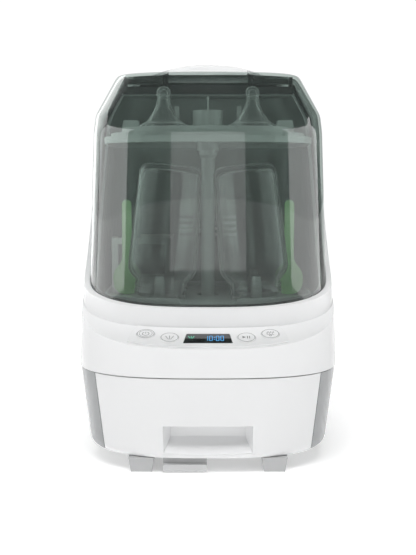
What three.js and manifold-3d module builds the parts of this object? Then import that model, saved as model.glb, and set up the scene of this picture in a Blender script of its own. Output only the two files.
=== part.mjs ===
// A countertop bottle sterilizer: a white housing with a smoked lid over the steam chamber, two lift-out racks, a
// sloped control panel, a pull-out water drawer and a filtered hot-air dryer behind the chamber.
// Millimetres, +Z up, the front faces -Y, and the origin is on the table under the middle of the housing.
import * as THREE from "three";
import { mergeVertices } from "three/addons/utils/BufferGeometryUtils.js";
import Module from "manifold-3d";

const wasm = await Module();
wasm.setup();

// ---------------------------------------------------------------- driving dimensions
const bodyWidth = 271;
const bodyDepth = 330;
const housingWall = 2.8;
const lidWall = 3;
const linerWall = 2;
const gap = 0.4; // between pieces that touch or nest
const footHeight = 16.3;
const lowerHeight = 80; // the drawer storey
const frontWallHeight = 29; // from the seam up to the front edge of the control deck
const deckDepth = 38;
const deckSlope = 20.7; // degrees, shared by the deck and the rim of the lid
const rimHeight = 20; // from the back edge of the deck up to the rim of the lid
const widestBehindFront = 115; // where the plan outline is widest
const sideDraft = 15; // how much each side leans in over the height of the chamber
const rearBay = 87; // depth of the dryer bay behind the chamber
const bottleHeight = 139;
const bottleRadius = 36.5;
const bottleBaseRadius = 33.5;
const bottleMouthRadius = 27;
const bottleTilt = 5.5; // degrees, bases lean towards each other
const bottleWall = 2.6;
const teatHeight = 44;
const teatRadius = 26.5;
const teatSpacing = 95;
const columnRadius = 7.5;
const nozzleRadius = 6;
const spoonLength = 104;
const spoonBowlWidth = 31;
const spoonHandleWidth = 10.5;
const spoonThickness = 3;
const crownRise = 24.5; // from the top of the lid up to the top of the housing behind it
const gripWidth = 88;
const gripHeight = 28.5;
const gripDepth = 20;
const buttonRadius = 9;
const buttonTravel = 1;
const displayWidth = 48;
const displayLength = 17.5;
const displayTaper = 3; // each end of the display leans in by this much towards its rear edge
const hingePinRadius = 3;
const hingeBarrelRadius = 6;
const hingeBarrelLength = 41;
const drawerWall = 2;
const plateThickness = 2.5;
const shaftRadius = 2.5;
const shaftClearance = 0.3;

// ---------------------------------------------------------------- levels and places worked out from them
const bodyHalf = bodyWidth / 2;
const bodyFront = -bodyDepth / 2;
const bodyBack = bodyDepth / 2;
const slope = Math.tan(THREE.MathUtils.degToRad(deckSlope));
const widestY = bodyFront + widestBehindFront;
const bandFront = bodyFront + deckDepth;
const seamZ = footHeight + lowerHeight;
const deckFrontZ = seamZ + frontWallHeight;
const deckBackZ = deckFrontZ + deckDepth * slope;
const rimFrontZ = deckBackZ + rimHeight;
const tubFloorZ = rimFrontZ - 9.4;
const rackFloorZ = rimFrontZ + 2.6;
const mouthZ = rackFloorZ + 3.6;
const bottleTopZ = mouthZ + bottleHeight;
const trayZ = bottleTopZ + 37;
const ceilingZ = trayZ + teatHeight + 11;
const lidTopZ = ceilingZ + lidWall;
const lidShoulderFrontZ = trayZ - 4;
const lidShoulderSideZ = lidTopZ - 44;
const linerTopZ = lidTopZ - 13;
const archZ = lidShoulderSideZ - 3; // where the sides start to curve over the top
const crownZ = lidTopZ + crownRise;
const crownY = bodyBack - 85;
const chamberBack = bodyBack - rearBay;
const lidInset = 3; // lid surface behind the rim surface
const linerClear = 2.5; // liner inside the lid
const hingeY = chamberBack - 32;
const hingeZ = lidTopZ + 1.5;
const lidEndY = hingeY - 6;

const bottleBaseX = bottleBaseRadius + 4.5;
const bottleMouthX = bottleBaseX + bottleHeight * Math.sin(THREE.MathUtils.degToRad(bottleTilt));
const bottleY = bandFront + lidInset + lidWall + 19 + bottleRadius;
const rearStationY = bottleY + 2 * bottleRadius + 12;
const columnY = (bottleY + rearStationY) / 2;
const spoonY = bottleY + bottleRadius + 3;
const spoonX = bodyHalf - 46.5;
const basketFront = spoonY + 11;

// ---------------------------------------------------------------- materials
const paint = (color, roughness, metalness = 0) => new THREE.MeshStandardMaterial({ color, roughness, metalness });
const clear = (color, opacity) => {
  return new THREE.MeshStandardMaterial({ color, roughness: 0.05, metalness: 0, transparent: true, opacity });
};
const white = paint(0xf2f2f2, 0.2);
const shade = paint(0xd9dcdb, 0.3);
const liner = paint(0x6f7775, 0.35);
const smoke = clear(0x55605d, 0.55);
const rackPlastic = paint(0x9aa19f, 0.35);
const glass = clear(0xdfe6e4, 0.35);
const silicone = clear(0xcfd5d3, 0.5);
const green = clear(0x76c46a, 0.75);
const rubber = paint(0xb9bcbb, 0.7);
const darkRubber = paint(0x2d3331, 0.6);
const black = paint(0x111213, 0.1);
const steel = paint(0xb7babb, 0.3, 1);
const circuit = paint(0x1f5a36, 0.6);
const darkPlastic = paint(0x33383a, 0.5);
const filterPaper = paint(0xe6e4da, 0.9);

// ---------------------------------------------------------------- solids
// A closed geometry as a manifold solid facing out, with shared vertices merged and slivers dropped.
function solid(geometry) {
  const loose = geometry.index ? geometry.toNonIndexed() : geometry;
  const bare = new THREE.BufferGeometry().setAttribute("position", loose.getAttribute("position"));
  const merged = mergeVertices(bare, 1e-4);
  const kept = [];
  for (let i = 0; i < merged.index.count; i += 3) {
    const [a, b, c] = [0, 1, 2].map((k) => merged.index.getX(i + k));
    if (a !== b && b !== c && c !== a) kept.push(a, b, c);
  }
  const make = (triVerts) => {
    return new wasm.Manifold(
      new wasm.Mesh({ numProp: 3, vertProperties: merged.attributes.position.array, triVerts }),
    );
  };
  const made = make(new Uint32Array(kept));
  return made.volume() > 0 ? made : make(new Uint32Array(kept.reverse()));
}

function geometryOf(body) {
  const mesh = body.getMesh();
  return new THREE.BufferGeometry()
    .setAttribute("position", new THREE.BufferAttribute(mesh.vertProperties, 3))
    .setIndex(new THREE.BufferAttribute(mesh.triVerts, 1));
}

const join = (...bodies) => bodies.reduce((a, b) => a.add(b));
const cut = (body, ...tools) => tools.reduce((a, b) => a.subtract(b), body);

function box(x0, x1, y0, y1, z0, z1) {
  const g = new THREE.BoxGeometry(x1 - x0, y1 - y0, z1 - z0);
  return solid(g.translate((x0 + x1) / 2, (y0 + y1) / 2, (z0 + z1) / 2));
}

// A cylinder along "x", "y" or "z", from start to end on that axis, centred at u, v on the other two in order.
function cylinder(axis, radius, start, end, u, v, segments = 24) {
  const g = new THREE.CylinderGeometry(radius, radius, end - start, segments);
  if (axis === "x") g.rotateZ(-Math.PI / 2).translate((start + end) / 2, u, v);
  if (axis === "y") g.translate(u, (start + end) / 2, v);
  if (axis === "z") g.rotateX(Math.PI / 2).translate(u, v, (start + end) / 2);
  return solid(g);
}

const shapeOf = (points) => new THREE.Shape(points.map(([u, v]) => new THREE.Vector2(u, v)));

function extrude(shape, depth) {
  return new THREE.ExtrudeGeometry(shape, { depth, bevelEnabled: false, curveSegments: 8 });
}

// A y, z outline between x0 and x1.
function prismX(points, x0, x1) {
  const turn = new THREE.Matrix4().makeBasis(
    new THREE.Vector3(0, 1, 0),
    new THREE.Vector3(0, 0, 1),
    new THREE.Vector3(1, 0, 0),
  );
  return solid(extrude(shapeOf(points), x1 - x0).applyMatrix4(turn).translate(x0, 0, 0));
}

// An x, z outline between y0 and y1.
function prismY(points, y0, y1) {
  return solid(extrude(shapeOf(points), y1 - y0).rotateX(Math.PI / 2).translate(0, y1, 0));
}

// An x, y outline between z0 and z1.
function prismZ(points, z0, z1) {
  return solid(extrude(shapeOf(points), z1 - z0).translate(0, 0, z0));
}

// A profile of radius, height pairs turned about +Z. It closes on itself or starts and ends on the axis.
function turned(profile, segments = 28) {
  const closed = [...profile, profile[0]].map(([r, z]) => new THREE.Vector2(r, z));
  return solid(new THREE.LatheGeometry(closed, segments).rotateX(Math.PI / 2));
}

// A tube along a smooth line through the points.
function hose(points, radius) {
  const path = new THREE.CatmullRomCurve3(points.map((p) => new THREE.Vector3(...p)));
  const section = new THREE.Shape().absarc(0, 0, radius, 0, Math.PI * 2);
  const g = new THREE.ExtrudeGeometry(section, { steps: 12, extrudePath: path, curveSegments: 4 });
  return solid(g);
}

// ---------------------------------------------------------------- plan outlines and lofts
const ringPoints = 36;
const frontRoundness = 2.8;
const backRoundness = 5;

// A bowed front and a squarer back that meet where the outline is widest.
function outline({ half, front, middle, back }) {
  return Array.from({ length: ringPoints }, (_, i) => {
    const turn = (i / ringPoints) * Math.PI * 2;
    const [c, s] = [Math.cos(turn), Math.sin(turn)];
    const power = 2 / (s < 0 ? frontRoundness : backRoundness);
    const reach = s < 0 ? middle - front : back - middle;
    return [half * Math.sign(c) * Math.abs(c) ** power, middle + reach * Math.sign(s) * Math.abs(s) ** power];
  });
}

// A closed solid through horizontal outlines stacked from the lowest z to the highest.
function loft(levels, sectionAt) {
  const rings = levels.map((z) => outline(sectionAt(z)).map(([x, y]) => [x, y, z]));
  const position = [];
  const face = (...corners) => corners.forEach((p) => position.push(...p));
  for (let k = 0; k + 1 < rings.length; k++) {
    for (let i = 0; i < ringPoints; i++) {
      const j = (i + 1) % ringPoints;
      face(rings[k][i], rings[k][j], rings[k + 1][j]);
      face(rings[k][i], rings[k + 1][j], rings[k + 1][i]);
    }
  }
  const top = rings[rings.length - 1];
  for (let i = 1; i + 1 < ringPoints; i++) {
    face(rings[0][0], rings[0][i + 1], rings[0][i]);
    face(top[0], top[i], top[i + 1]);
  }
  return solid(new THREE.BufferGeometry().setAttribute("position", new THREE.Float32BufferAttribute(position, 3)));
}

const inset = (s, d) => ({ half: s.half - d, front: s.front + d, middle: s.middle, back: s.back - d });

// Straight lines between [position, value] pairs.
function along(at, pairs) {
  const last = pairs.length - 1;
  if (at <= pairs[0][0]) return pairs[0][1];
  if (at >= pairs[last][0]) return pairs[last][1];
  const i = pairs.findIndex(([p]) => p > at);
  const [[p0, v0], [p1, v1]] = [pairs[i - 1], pairs[i]];
  return v0 + ((at - p0) / (p1 - p0)) * (v1 - v0);
}

// The smaller of two reaches, rounded where they cross.
const softMin = (a, b) => (a ** -12 + b ** -12) ** (-1 / 12);

// Drawer storey: leans in towards the table, with a rounded bottom edge.
function lowerSection(z) {
  const rise = z - footHeight;
  const tuck = along(rise, [[-1, 14], [0, 13], [2.5, 10.8], [8, 9.6], [lowerHeight, 0.8]]);
  const pull = along(rise, [[-1, 8], [0, 7.2], [2.5, 5.4], [8, 4.6], [lowerHeight, 0.5]]);
  return { half: bodyHalf - tuck, front: bodyFront + pull, middle: widestY, back: bodyBack - pull };
}

function sideHalf(z) {
  const share = Math.max(0, (z - seamZ - 8) / (lidShoulderSideZ - seamZ - 8));
  return bodyHalf - sideDraft * share ** 1.2;
}

const backAt = (z) => bodyBack - (5 * Math.max(0, z - seamZ)) / (crownZ - seamZ);

// Outside of the housing below the deck.
const bodySection = (z) => ({ half: sideHalf(z), front: bodyFront, middle: widestY, back: backAt(z) });

// Outside of the rim band and of the tall rear part, closed by a low crown.
function bandSection(z) {
  const drop = Math.max(crownZ - z, 0.05);
  const arc = (radius) => Math.sqrt(2 * radius * drop);
  const rise = Math.max(0, z - archZ) / (crownZ - archZ);
  const front = [[archZ, bandFront], [lidTopZ - 16, crownY - 80], [lidTopZ, crownY - arc(30)]];
  return {
    half: sideHalf(z) * Math.sqrt(Math.max(1 - rise * rise, 0.001)),
    front: z < lidTopZ ? along(z, front) : crownY - arc(30),
    middle: along(z, [[archZ, widestY], [lidTopZ - 16, crownY - 40], [lidTopZ, crownY]]),
    back: crownY + softMin(backAt(z) - crownY, arc(69)),
  };
}

// Outside of the lid: upright walls, then a shoulder that leans in to a flat top.
function lidSection(z) {
  const low = rimFrontZ - 10;
  return {
    half: along(z, [[low, bodyHalf - 8], [rimFrontZ + 34, bodyHalf - 10], [lidShoulderSideZ, bodyHalf - 16.3],
      [lidTopZ - 4, bodyHalf - 34.5], [lidTopZ - 1, bodyHalf - 37], [lidTopZ, bodyHalf - 40.5]]),
    front: along(z, [[low, bandFront + lidInset], [lidShoulderFrontZ, bandFront + lidInset + 1],
      [lidTopZ - 4, bandFront + 54], [lidTopZ - 1, bandFront + 57], [lidTopZ, bandFront + 61]]),
    middle: along(z, [[lidShoulderFrontZ, widestY], [lidTopZ - 4, widestY + 40]]),
    back: chamberBack + 14,
  };
}

const lidLevels = [rimFrontZ - 10, rimFrontZ + 34, lidShoulderFrontZ - 1, lidShoulderFrontZ + 1, lidShoulderSideZ - 1,
  lidShoulderSideZ + 1, lidTopZ - 4, lidTopZ - 1, lidTopZ];
const bandLevels = [seamZ + gap, rimFrontZ - 20, rimFrontZ + 30, rimFrontZ + 100, archZ, archZ + 17, lidTopZ - 16,
  lidTopZ - 8, lidTopZ, crownZ - 15, crownZ - 7, crownZ - 2, crownZ - 0.2];
const innerLevels = [seamZ - 1, rimFrontZ - 20, rimFrontZ + 30, rimFrontZ + 100, archZ, lidTopZ - 16,
  lidTopZ - housingWall, crownZ - 20, crownZ - 10, crownZ - 5.5, crownZ - 3.4];
const innerSection = (z) => inset(bandSection(z + (z > lidTopZ - 4 ? housingWall : 0)), housingWall);
const roomHalf = (z) => along(z, innerLevels.map((level) => [level, innerSection(level).half]));
// The liner stands off the lid, and stays within the room the housing leaves under its curved top.
const tubSection = (z) => {
  const section = inset(lidSection(Math.max(z, rimFrontZ)), lidWall + linerClear);
  const half = Math.min(section.half, roomHalf(z) - gap / 4);
  const turnIn = along(z - tubFloorZ, [[0, 9], [3, 2.5], [8, 0]]);
  return { ...inset({ ...section, half }, turnIn), back: chamberBack - turnIn };
};
const lidShape = loft(lidLevels, lidSection);

// The same envelope with walls moved in by d and the top lowered by it.
const shrunkLid = (d) => loft(lidLevels.map((z) => z - (z > lidTopZ - 5 ? d : 0)), (z) => {
  return inset(lidSection(z > lidTopZ - 5 - d ? z + d : z), d);
});

// ---------------------------------------------------------------- the line where the lid meets the housing
// Side view, y and z: up the sloped rim, round a bend, up the leaning side and over the top in front of the hinge.
const bendY = widestY - 2;
const rimLine = (y) => rimFrontZ + (y - bandFront) * slope;
const partingLine = (() => {
  const bend = new THREE.Vector2(bendY, rimLine(bendY));
  const top = new THREE.Vector2(lidEndY, lidTopZ - 9);
  const before = new THREE.Vector2(bendY - 24, rimLine(bendY - 24));
  const after = bend.clone().add(top.clone().sub(bend).setLength(34));
  const turn = new THREE.QuadraticBezierCurve(before, bend, after).getPoints(6);
  return [new THREE.Vector2(-400, rimLine(-400)), ...turn, top, new THREE.Vector2(lidEndY, crownZ + 60)];
})();

// That line moved by d towards the lid.
function partingOffset(d) {
  return partingLine.map((p, i) => {
    const a = partingLine[Math.max(i - 1, 0)];
    const b = partingLine[Math.min(i + 1, partingLine.length - 1)];
    const run = b.clone().sub(a).normalize();
    return [p.x - run.y * d, p.y + run.x * d];
  });
}

const wide = 300;
const housingSide = (d) => prismX([...partingOffset(d), [500, crownZ + 60], [500, -100], [-400, -100]], -wide, wide);
const lidSide = (d) => prismX([...partingOffset(d), [-400, crownZ + 60]], -wide, wide);
const between = (low, high) => housingSide(high).subtract(housingSide(low));

// ---------------------------------------------------------------- places on the sloped control deck
const deckAngle = THREE.MathUtils.degToRad(deckSlope);
const deckPoint = (u, lift = 0) => [
  bodyFront + u * Math.cos(deckAngle) - lift * Math.sin(deckAngle),
  deckFrontZ + u * Math.sin(deckAngle) + lift * Math.cos(deckAngle),
];
const underDeck = (lift) => {
  const run = 400;
  return prismX([deckPoint(-run, lift), deckPoint(run, lift), [500, -100], [-500, -100]], -wide, wide);
};
// A piece drawn flat on x, y with its top at z = 0 and put on the deck, with its +Y up the slope.
function onDeck(flat, x, u, lift) {
  const [y, z] = deckPoint(u, lift);
  const place = new THREE.Matrix4().makeRotationX(deckAngle).setPosition(x, y, z);
  return solid(geometryOf(flat).applyMatrix4(place));
}
const buttonPlaces = {
  power_button: [-61.5, 27],
  wash_button: [-37.7, 19.8],
  start_button: [37.7, 19.8],
  dry_button: [61.5, 27],
};
const displayU = 18.3;
// The display's outline, wider towards the front, grown by a margin and drawn between two heights.
function displayShape(grow, low, high) {
  const [half, reach] = [displayWidth / 2 + grow, displayLength / 2 + grow];
  return prismZ([[-half, -reach], [half, -reach], [half - displayTaper, reach], [displayTaper - half, reach]],
    low, high);
}

// ---------------------------------------------------------------- the tree of bodies
const sterilizer = new THREE.Group();
const groups = {};
function group(name, parent = sterilizer) {
  groups[name] = new THREE.Group();
  parent.add(groups[name]);
  return groups[name];
}
function piece(name, body, material, parent) {
  const mesh = new THREE.Mesh(geometryOf(body), material);
  mesh.name = name;
  parent.add(mesh);
  return mesh;
}
const base = group("base");
const lid = group("lid");
const topRack = group("top_rack");
const lowerRack = group("lower_rack");
const drawer = group("drawer");

// ---------------------------------------------------------------- hinge recesses, shared by what they cut
const hingeMiddle = bodyHalf * 0.53;
const hingeReach = hingeBarrelLength / 2 + 5.5;
const sides = [-1, 1];
const hingeRecess = sides.map((side) => {
  const x = side * hingeMiddle;
  return box(x - hingeReach, x + hingeReach, hingeY - 12, hingeY + 22, linerTopZ + gap / 2, crownZ + 40);
});

// ---------------------------------------------------------------- housing
const innerBody = loft([seamZ - 1, seamZ + 8, rimFrontZ + 30], (z) => inset(bodySection(z), housingWall));
const outerBody = loft([seamZ + gap, seamZ + 8, rimFrontZ - 20, rimFrontZ + 30], bodySection);
const outerBand = loft(bandLevels, bandSection);
const innerHousing = (extra) => loft(innerLevels, (z) => inset(innerSection(z), extra));
const innerBand = innerHousing(0);
const rearOpening = { half: bodyHalf * 0.72, low: seamZ + 16, high: lidShoulderSideZ + 12 };
const filterHalf = 44;
const filterLowZ = rimFrontZ + 118;
const filterHighZ = filterLowZ + 86;

const sealDepth = 2;
// The lid's outline inset by d, as a plug through the rim.
const lidPlug = (d) => loft([rimFrontZ - 14, ...lidLevels.slice(1, -2), lidTopZ - d], (z) => {
  return inset(lidSection(z), d);
});
const sealGroove = () => lidPlug(0.2).intersect(between(-sealDepth - 1, 3));
function housingShell() {
  const outside = outerBody.intersect(underDeck(0)).add(outerBand.intersect(housingSide(0)));
  const inside = innerBody.intersect(underDeck(-housingWall)).add(innerBand);
  const rimPlate = outerBand.intersect(between(-sealDepth, 0));
  return cut(join(cut(outside, inside), rimPlate), sealGroove());
}

const shell = housingShell();
const rearCutter = (grow) => box(-rearOpening.half - grow, rearOpening.half + grow, bodyBack - 40, bodyBack + 20,
  rearOpening.low - grow, rearOpening.high + grow);

function mainHousing() {
  const buttonHoles = Object.values(buttonPlaces).map(([x, u]) => {
    return onDeck(cylinder("z", buttonRadius + gap, -8, 4, 0, 0, 20), x, u, 0);
  });
  const displayHole = onDeck(displayShape(-2, -8, 4), 0, displayU, 0);
  return cut(shell, rearCutter(gap), ...hingeRecess, ...buttonHoles, displayHole);
}
piece("main_housing", mainHousing(), white, base);

const doorBarrel = 2.4;
const doorHinge = { y: backAt(filterLowZ) - housingWall / 2, z: filterLowZ };
function rearPanel() {
  const panel = shell.intersect(rearCutter(0));
  const door = box(-filterHalf - gap, filterHalf + gap, bodyBack - 40, bodyBack + 20,
    filterLowZ - doorBarrel - gap, filterHighZ + gap);
  const vents = [0, 1, 2, 3].map((i) => box(-50, 50, bodyBack - 40, bodyBack + 20, rearOpening.low + 16 + i * 11,
    rearOpening.low + 21 + i * 11));
  return cut(panel, door, ...vents);
}
piece("rear_panel", rearPanel(), white, base);

// ---------------------------------------------------------------- drawer storey
const lowerLevels = [footHeight, footHeight + 2.5, footHeight + 8, seamZ - gap];
const lowerOutside = loft(lowerLevels, lowerSection);
const lowerInside = loft([footHeight - 1, footHeight + 2.5, footHeight + 8, seamZ + 1], (z) => {
  return inset(lowerSection(z), housingWall);
});
const drawerFaceLow = bodyHalf - 33.5; // at the table
const drawerFaceHigh = bodyHalf - 22; // at the seam
const faceCutter = (grow) => prismY([[-drawerFaceLow - grow, 0], [drawerFaceLow + grow, 0],
  [drawerFaceHigh + grow, seamZ + 4], [-drawerFaceHigh - grow, seamZ + 4]], bodyFront - 40, bodyFront + 54);
const inletX = bodyHalf - 62;
const inletZ = footHeight + 38;
const inletHalfWidth = 15;
const inletHalfHeight = 11;

piece("lower_housing", cut(lowerOutside, lowerInside, faceCutter(gap),
  box(inletX - inletHalfWidth - gap, inletX + inletHalfWidth + gap, bodyBack - 30, bodyBack + 20,
    inletZ - inletHalfHeight - gap, inletZ + inletHalfHeight + gap)), white, base);

const basePlateZ = footHeight + 0.4;
const drawerFloorZ = basePlateZ + plateThickness + 1.5;
const basePlateFront = bodyFront + 40;

// The drip tray hangs by its flanges in two rails under the base plate, left of the middle.
const drawerLow = footHeight - 0.9;
const drip = { low: 1.2, high: drawerLow - gap, front: bodyFront + 8, back: bodyFront + 112, left: -44.5, right: -1 };
const dripFlange = 2.4;
const railFront = basePlateFront + 1;
function dripRail(side) {
  const edge = side < 0 ? drip.left : drip.right;
  const [wall, lip] = [edge + side * gap, edge - side * (dripFlange - gap)];
  const out = wall + side * 2.2;
  const lipTop = drip.high - dripFlange - gap;
  const across = (a, b) => [Math.min(a, b), Math.max(a, b)];
  return join(
    box(...across(wall, out), railFront, drip.back + 4, lipTop - 2, basePlateZ + 1),
    box(...across(lip, out), railFront, drip.back + 4, lipTop - 2, lipTop),
  );
}
function basePlate() {
  const plate = loft([basePlateZ, basePlateZ + plateThickness], () => inset(lowerSection(footHeight), housingWall + gap));
  return join(cut(plate, box(-wide, wide, bodyFront - 10, basePlateFront, 0, 60)), dripRail(-1), dripRail(1));
}
piece("base_plate", basePlate(), shade, base);

const drawerBackY = bodyBack - 68;
function chassisPlate() {
  const section = inset(bodySection(seamZ + 6), housingWall + gap);
  return loft([seamZ + gap, seamZ + gap + plateThickness], () => section);
}
piece("chassis_plate", chassisPlate(), shade, base);
const chassisTop = seamZ + gap + plateThickness;

// A tapered rubber foot with its top at z = 0. A front foot reaches forward under the drawer, a step lower.
const footReach = 35;
function foot(reach) {
  const height = basePlateZ - gap;
  const block = prismY([[-13, 0], [-10.5, -height], [10.5, -height], [13, 0]], -15 - reach, 15);
  const whole = block.intersect(prismX([[-15 - reach, 0], [-12.5 - reach, -height], [12.5, -height], [15, 0]], -20, 20));
  return reach ? cut(whole, box(-20, 20, -20 - reach, -20.5, drawerLow - gap - height, 5)) : whole;
}
const footPlaces = {
  foot_front_left: [-66, bodyFront + 47 + 15],
  foot_front_right: [66, bodyFront + 47 + 15],
  foot_rear_left: [-(bodyHalf - 52), bodyBack - 45],
  foot_rear_right: [bodyHalf - 52, bodyBack - 45],
};
for (const [name, [x, y]] of Object.entries(footPlaces)) {
  piece(name, foot(y < 0 ? footReach : 0), rubber, base).position.set(x, y, basePlateZ - gap);
}

// A shallow tray with a finger lip at the front.
function dripTray() {
  const f = drip.front;
  const lip = prismX([[f, 3.2], [f + 2.5, drip.low], [f + 24, drip.low], [f + 24, drip.high], [f + 8, drip.high],
    [f + 5.5, 9.6], [f, 8.8]], drip.left, drip.right);
  const body = box(drip.left + dripFlange, drip.right - dripFlange, f + 20, drip.back, 3.2, drip.high);
  const flanges = box(drip.left, drip.right, f + 20, drip.back, drip.high - dripFlange, drip.high);
  const hollow = box(drip.left + dripFlange + 2, drip.right - dripFlange - 2, f + 26, drip.back - 2, 5.2, 40);
  return cut(join(lip, body, flanges), hollow);
}
piece("drip_tray", dripTray(), white, group("drip_tray"));

// ---------------------------------------------------------------- drawer
const pocketBack = bodyFront + gripDepth + 7;
function drawerFront() {
  const outside = loft([drawerLow, footHeight + 2.5, footHeight + 8, seamZ - gap - 0.2], lowerSection);
  const face = cut(outside, lowerInside).intersect(faceCutter(0));
  const backing = box(-gripWidth / 2 - 6, gripWidth / 2 + 6, bodyFront - 5, pocketBack,
    footHeight + 0.6, footHeight + gripHeight + 6.5);
  const floorFront = footHeight + 3.4;
  const pocketTop = floorFront + gripHeight;
  const back = bodyFront + 4 + gripDepth;
  const pocket = prismX([[bodyFront - 20, floorFront], [bodyFront + 5, floorFront], [back - 2, floorFront + 11.5],
    [back, floorFront + 14], [back, pocketTop - 3], [back - 3, pocketTop], [bodyFront - 20, pocketTop]],
  -wide, wide).intersect(prismZ([[-gripWidth / 2 - 4, bodyFront - 20], [gripWidth / 2 + 4, bodyFront - 20],
    [gripWidth / 2, bodyFront + 6], [gripWidth / 2 - 7, back + 1], [-gripWidth / 2 + 7, back + 1],
    [-gripWidth / 2, bodyFront + 6]], 0, 200));
  return cut(join(face, backing.intersect(outside)), pocket);
}
piece("drawer_front", drawerFront(), white, drawer);

const trayHalf = drawerFaceLow - 2;
// How far forward an outline's bowed front reaches at x.
const frontAt = ({ half, front, middle }, x) => {
  return middle - (middle - front) * (1 - (x / half) ** frontRoundness) ** (1 / frontRoundness);
};
const faceRoom = inset(lowerSection(drawerFloorZ), housingWall + gap);
const trayFront = Math.max(bodyFront + gripDepth + 19, frontAt(faceRoom, trayHalf) + 2);
const tankTop = seamZ - 9;
const trayArms = sides.map((side) => {
  return box(side * 34 - 5, side * 34 + 5, pocketBack + gap, trayFront + 1, drawerFloorZ + 4, drawerFloorZ + 20);
});
piece("drawer_tray", cut(
  join(box(-trayHalf, trayHalf, trayFront, drawerBackY, drawerFloorZ, drawerFloorZ + 24), ...trayArms),
  box(-trayHalf + drawerWall, trayHalf - drawerWall, trayFront + drawerWall, drawerBackY - drawerWall,
    drawerFloorZ + drawerWall, drawerFloorZ + 40),
), shade, drawer);

// An open tank drawn at its own middle; left and right stand side by side in the tray.
const tankWidth = trayHalf - drawerWall - 1.5;
const tankLength = drawerBackY - trayFront - 2 * drawerWall - 2;
const tankLow = drawerFloorZ + drawerWall + gap;
const tankY = (trayFront + drawerBackY) / 2;
function tank() {
  const [w, l, h] = [tankWidth / 2, tankLength / 2, tankTop - tankLow];
  const hollow = box(-w + 2.2, w - 2.2, -l + 2.2, l - 2.2, 2.2, h + 5);
  return cut(box(-w, w, -l, l, 0, h), hollow);
}
function tankLid() {
  const [w, l] = [tankWidth / 2, tankLength / 2];
  const plate = box(-w, w, -l, l, gap, gap + 2.4);
  const plug = box(-w + 2.8, w - 2.8, -l + 2.8, l - 2.8, -2.5, gap + 1);
  const filler = cylinder("z", 14, -10, 10, 0, l - 34, 24);
  const drip = cylinder("z", 5, -10, 10, 0, -l + 24, 16);
  return cut(join(plate, plug), filler, drip);
}
const tankX = (tankWidth + 1.5) / 2;
for (const [name, side] of [["waste_tank", -1], ["clean_tank", 1]]) {
  piece(name, tank(), smoke, drawer).position.set(side * tankX, tankY, tankLow);
  piece(name + "_lid", tankLid(), shade, drawer).position.set(side * tankX, tankY, tankTop);
}

// ---------------------------------------------------------------- chamber
const ventZ = rimFrontZ + 62;
function tubLiner() {
  const outsideLevels = [tubFloorZ, tubFloorZ + 3, tubFloorZ + 8, rimFrontZ + 34, lidShoulderFrontZ,
    lidShoulderSideZ, linerTopZ];
  const outside = loft(outsideLevels, tubSection);
  const inside = loft(outsideLevels.map((z) => {
    return z === tubFloorZ ? z + linerWall : z === linerTopZ ? z - linerWall : z + linerWall / 2;
  }), (z) => inset(tubSection(z), linerWall));
  const bowl = cut(outside, inside).intersect(housingSide(-2.2));
  const flange = cut(innerHousing(gap).intersect(between(-4.2, -2.2)), inside);
  const slots = [0, 1, 2, 3].map((i) => {
    return box(-34, 34, chamberBack - 12, chamberBack + 12, ventZ + i * 7, ventZ + 3.4 + i * 7);
  });
  const drain = cylinder("z", 22, tubFloorZ - 5, tubFloorZ + 6, 0, columnY, 24);
  const wells = stationPlaces.map(({ x, y }) => cylinder("z", nozzleRadius + gap, tubFloorZ - 5, tubFloorZ + 6, x, y, 16));
  return cut(join(bowl, flange), ...slots, drain, ...wells, ...hingeRecess);
}
const stationPlaces = [
  { name: "nozzle_front_left", x: -bottleMouthX, y: bottleY, lean: -bottleTilt },
  { name: "nozzle_front_right", x: bottleMouthX, y: bottleY, lean: bottleTilt },
  { name: "nozzle_rear_right", x: bottleMouthX, y: rearStationY, lean: 0 },
];
piece("tub_liner", tubLiner(), liner, base);

function lidSeal() {
  const ring = cut(lidPlug(0.2 + gap), shrunkLid(4)).intersect(between(gap - sealDepth, 0.4));
  const top = box(-hingeMiddle - hingeReach, hingeMiddle + hingeReach, hingeY - 30, hingeY, linerTopZ + gap / 2, crownZ);
  return cut(ring, top);
}
piece("lid_seal", lidSeal(), darkRubber, base);

// The strainer closes the drain hole; the feed column stands in its middle and carries the top rack.
piece("sump_strainer", turned([[columnRadius + gap, tubFloorZ - 1], [21.5, tubFloorZ - 1], [21.5, tubFloorZ + 2.4],
  [26, tubFloorZ + 2.4], [26, tubFloorZ + 4.4], [columnRadius + gap, tubFloorZ + 4.4]]), steel, base)
  .position.set(0, columnY, 0);
const columnTop = trayZ - 16;
piece("feed_column", turned([[4, tubFloorZ - 12], [columnRadius, tubFloorZ - 12], [columnRadius, columnTop - 14],
  [10, columnTop - 11], [10, columnTop - 2], [8.5, columnTop], [4, columnTop]]), rackPlastic, base)
  .position.set(0, columnY, 0);
for (const { name, x, y } of stationPlaces) {
  const spray = turned([[1.6, -10], [nozzleRadius, -10], [nozzleRadius, 28], [4.5, 36], [1.6, 36]], 16);
  piece(name, spray, rackPlastic, base).position.set(x, y, tubFloorZ);
}

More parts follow.
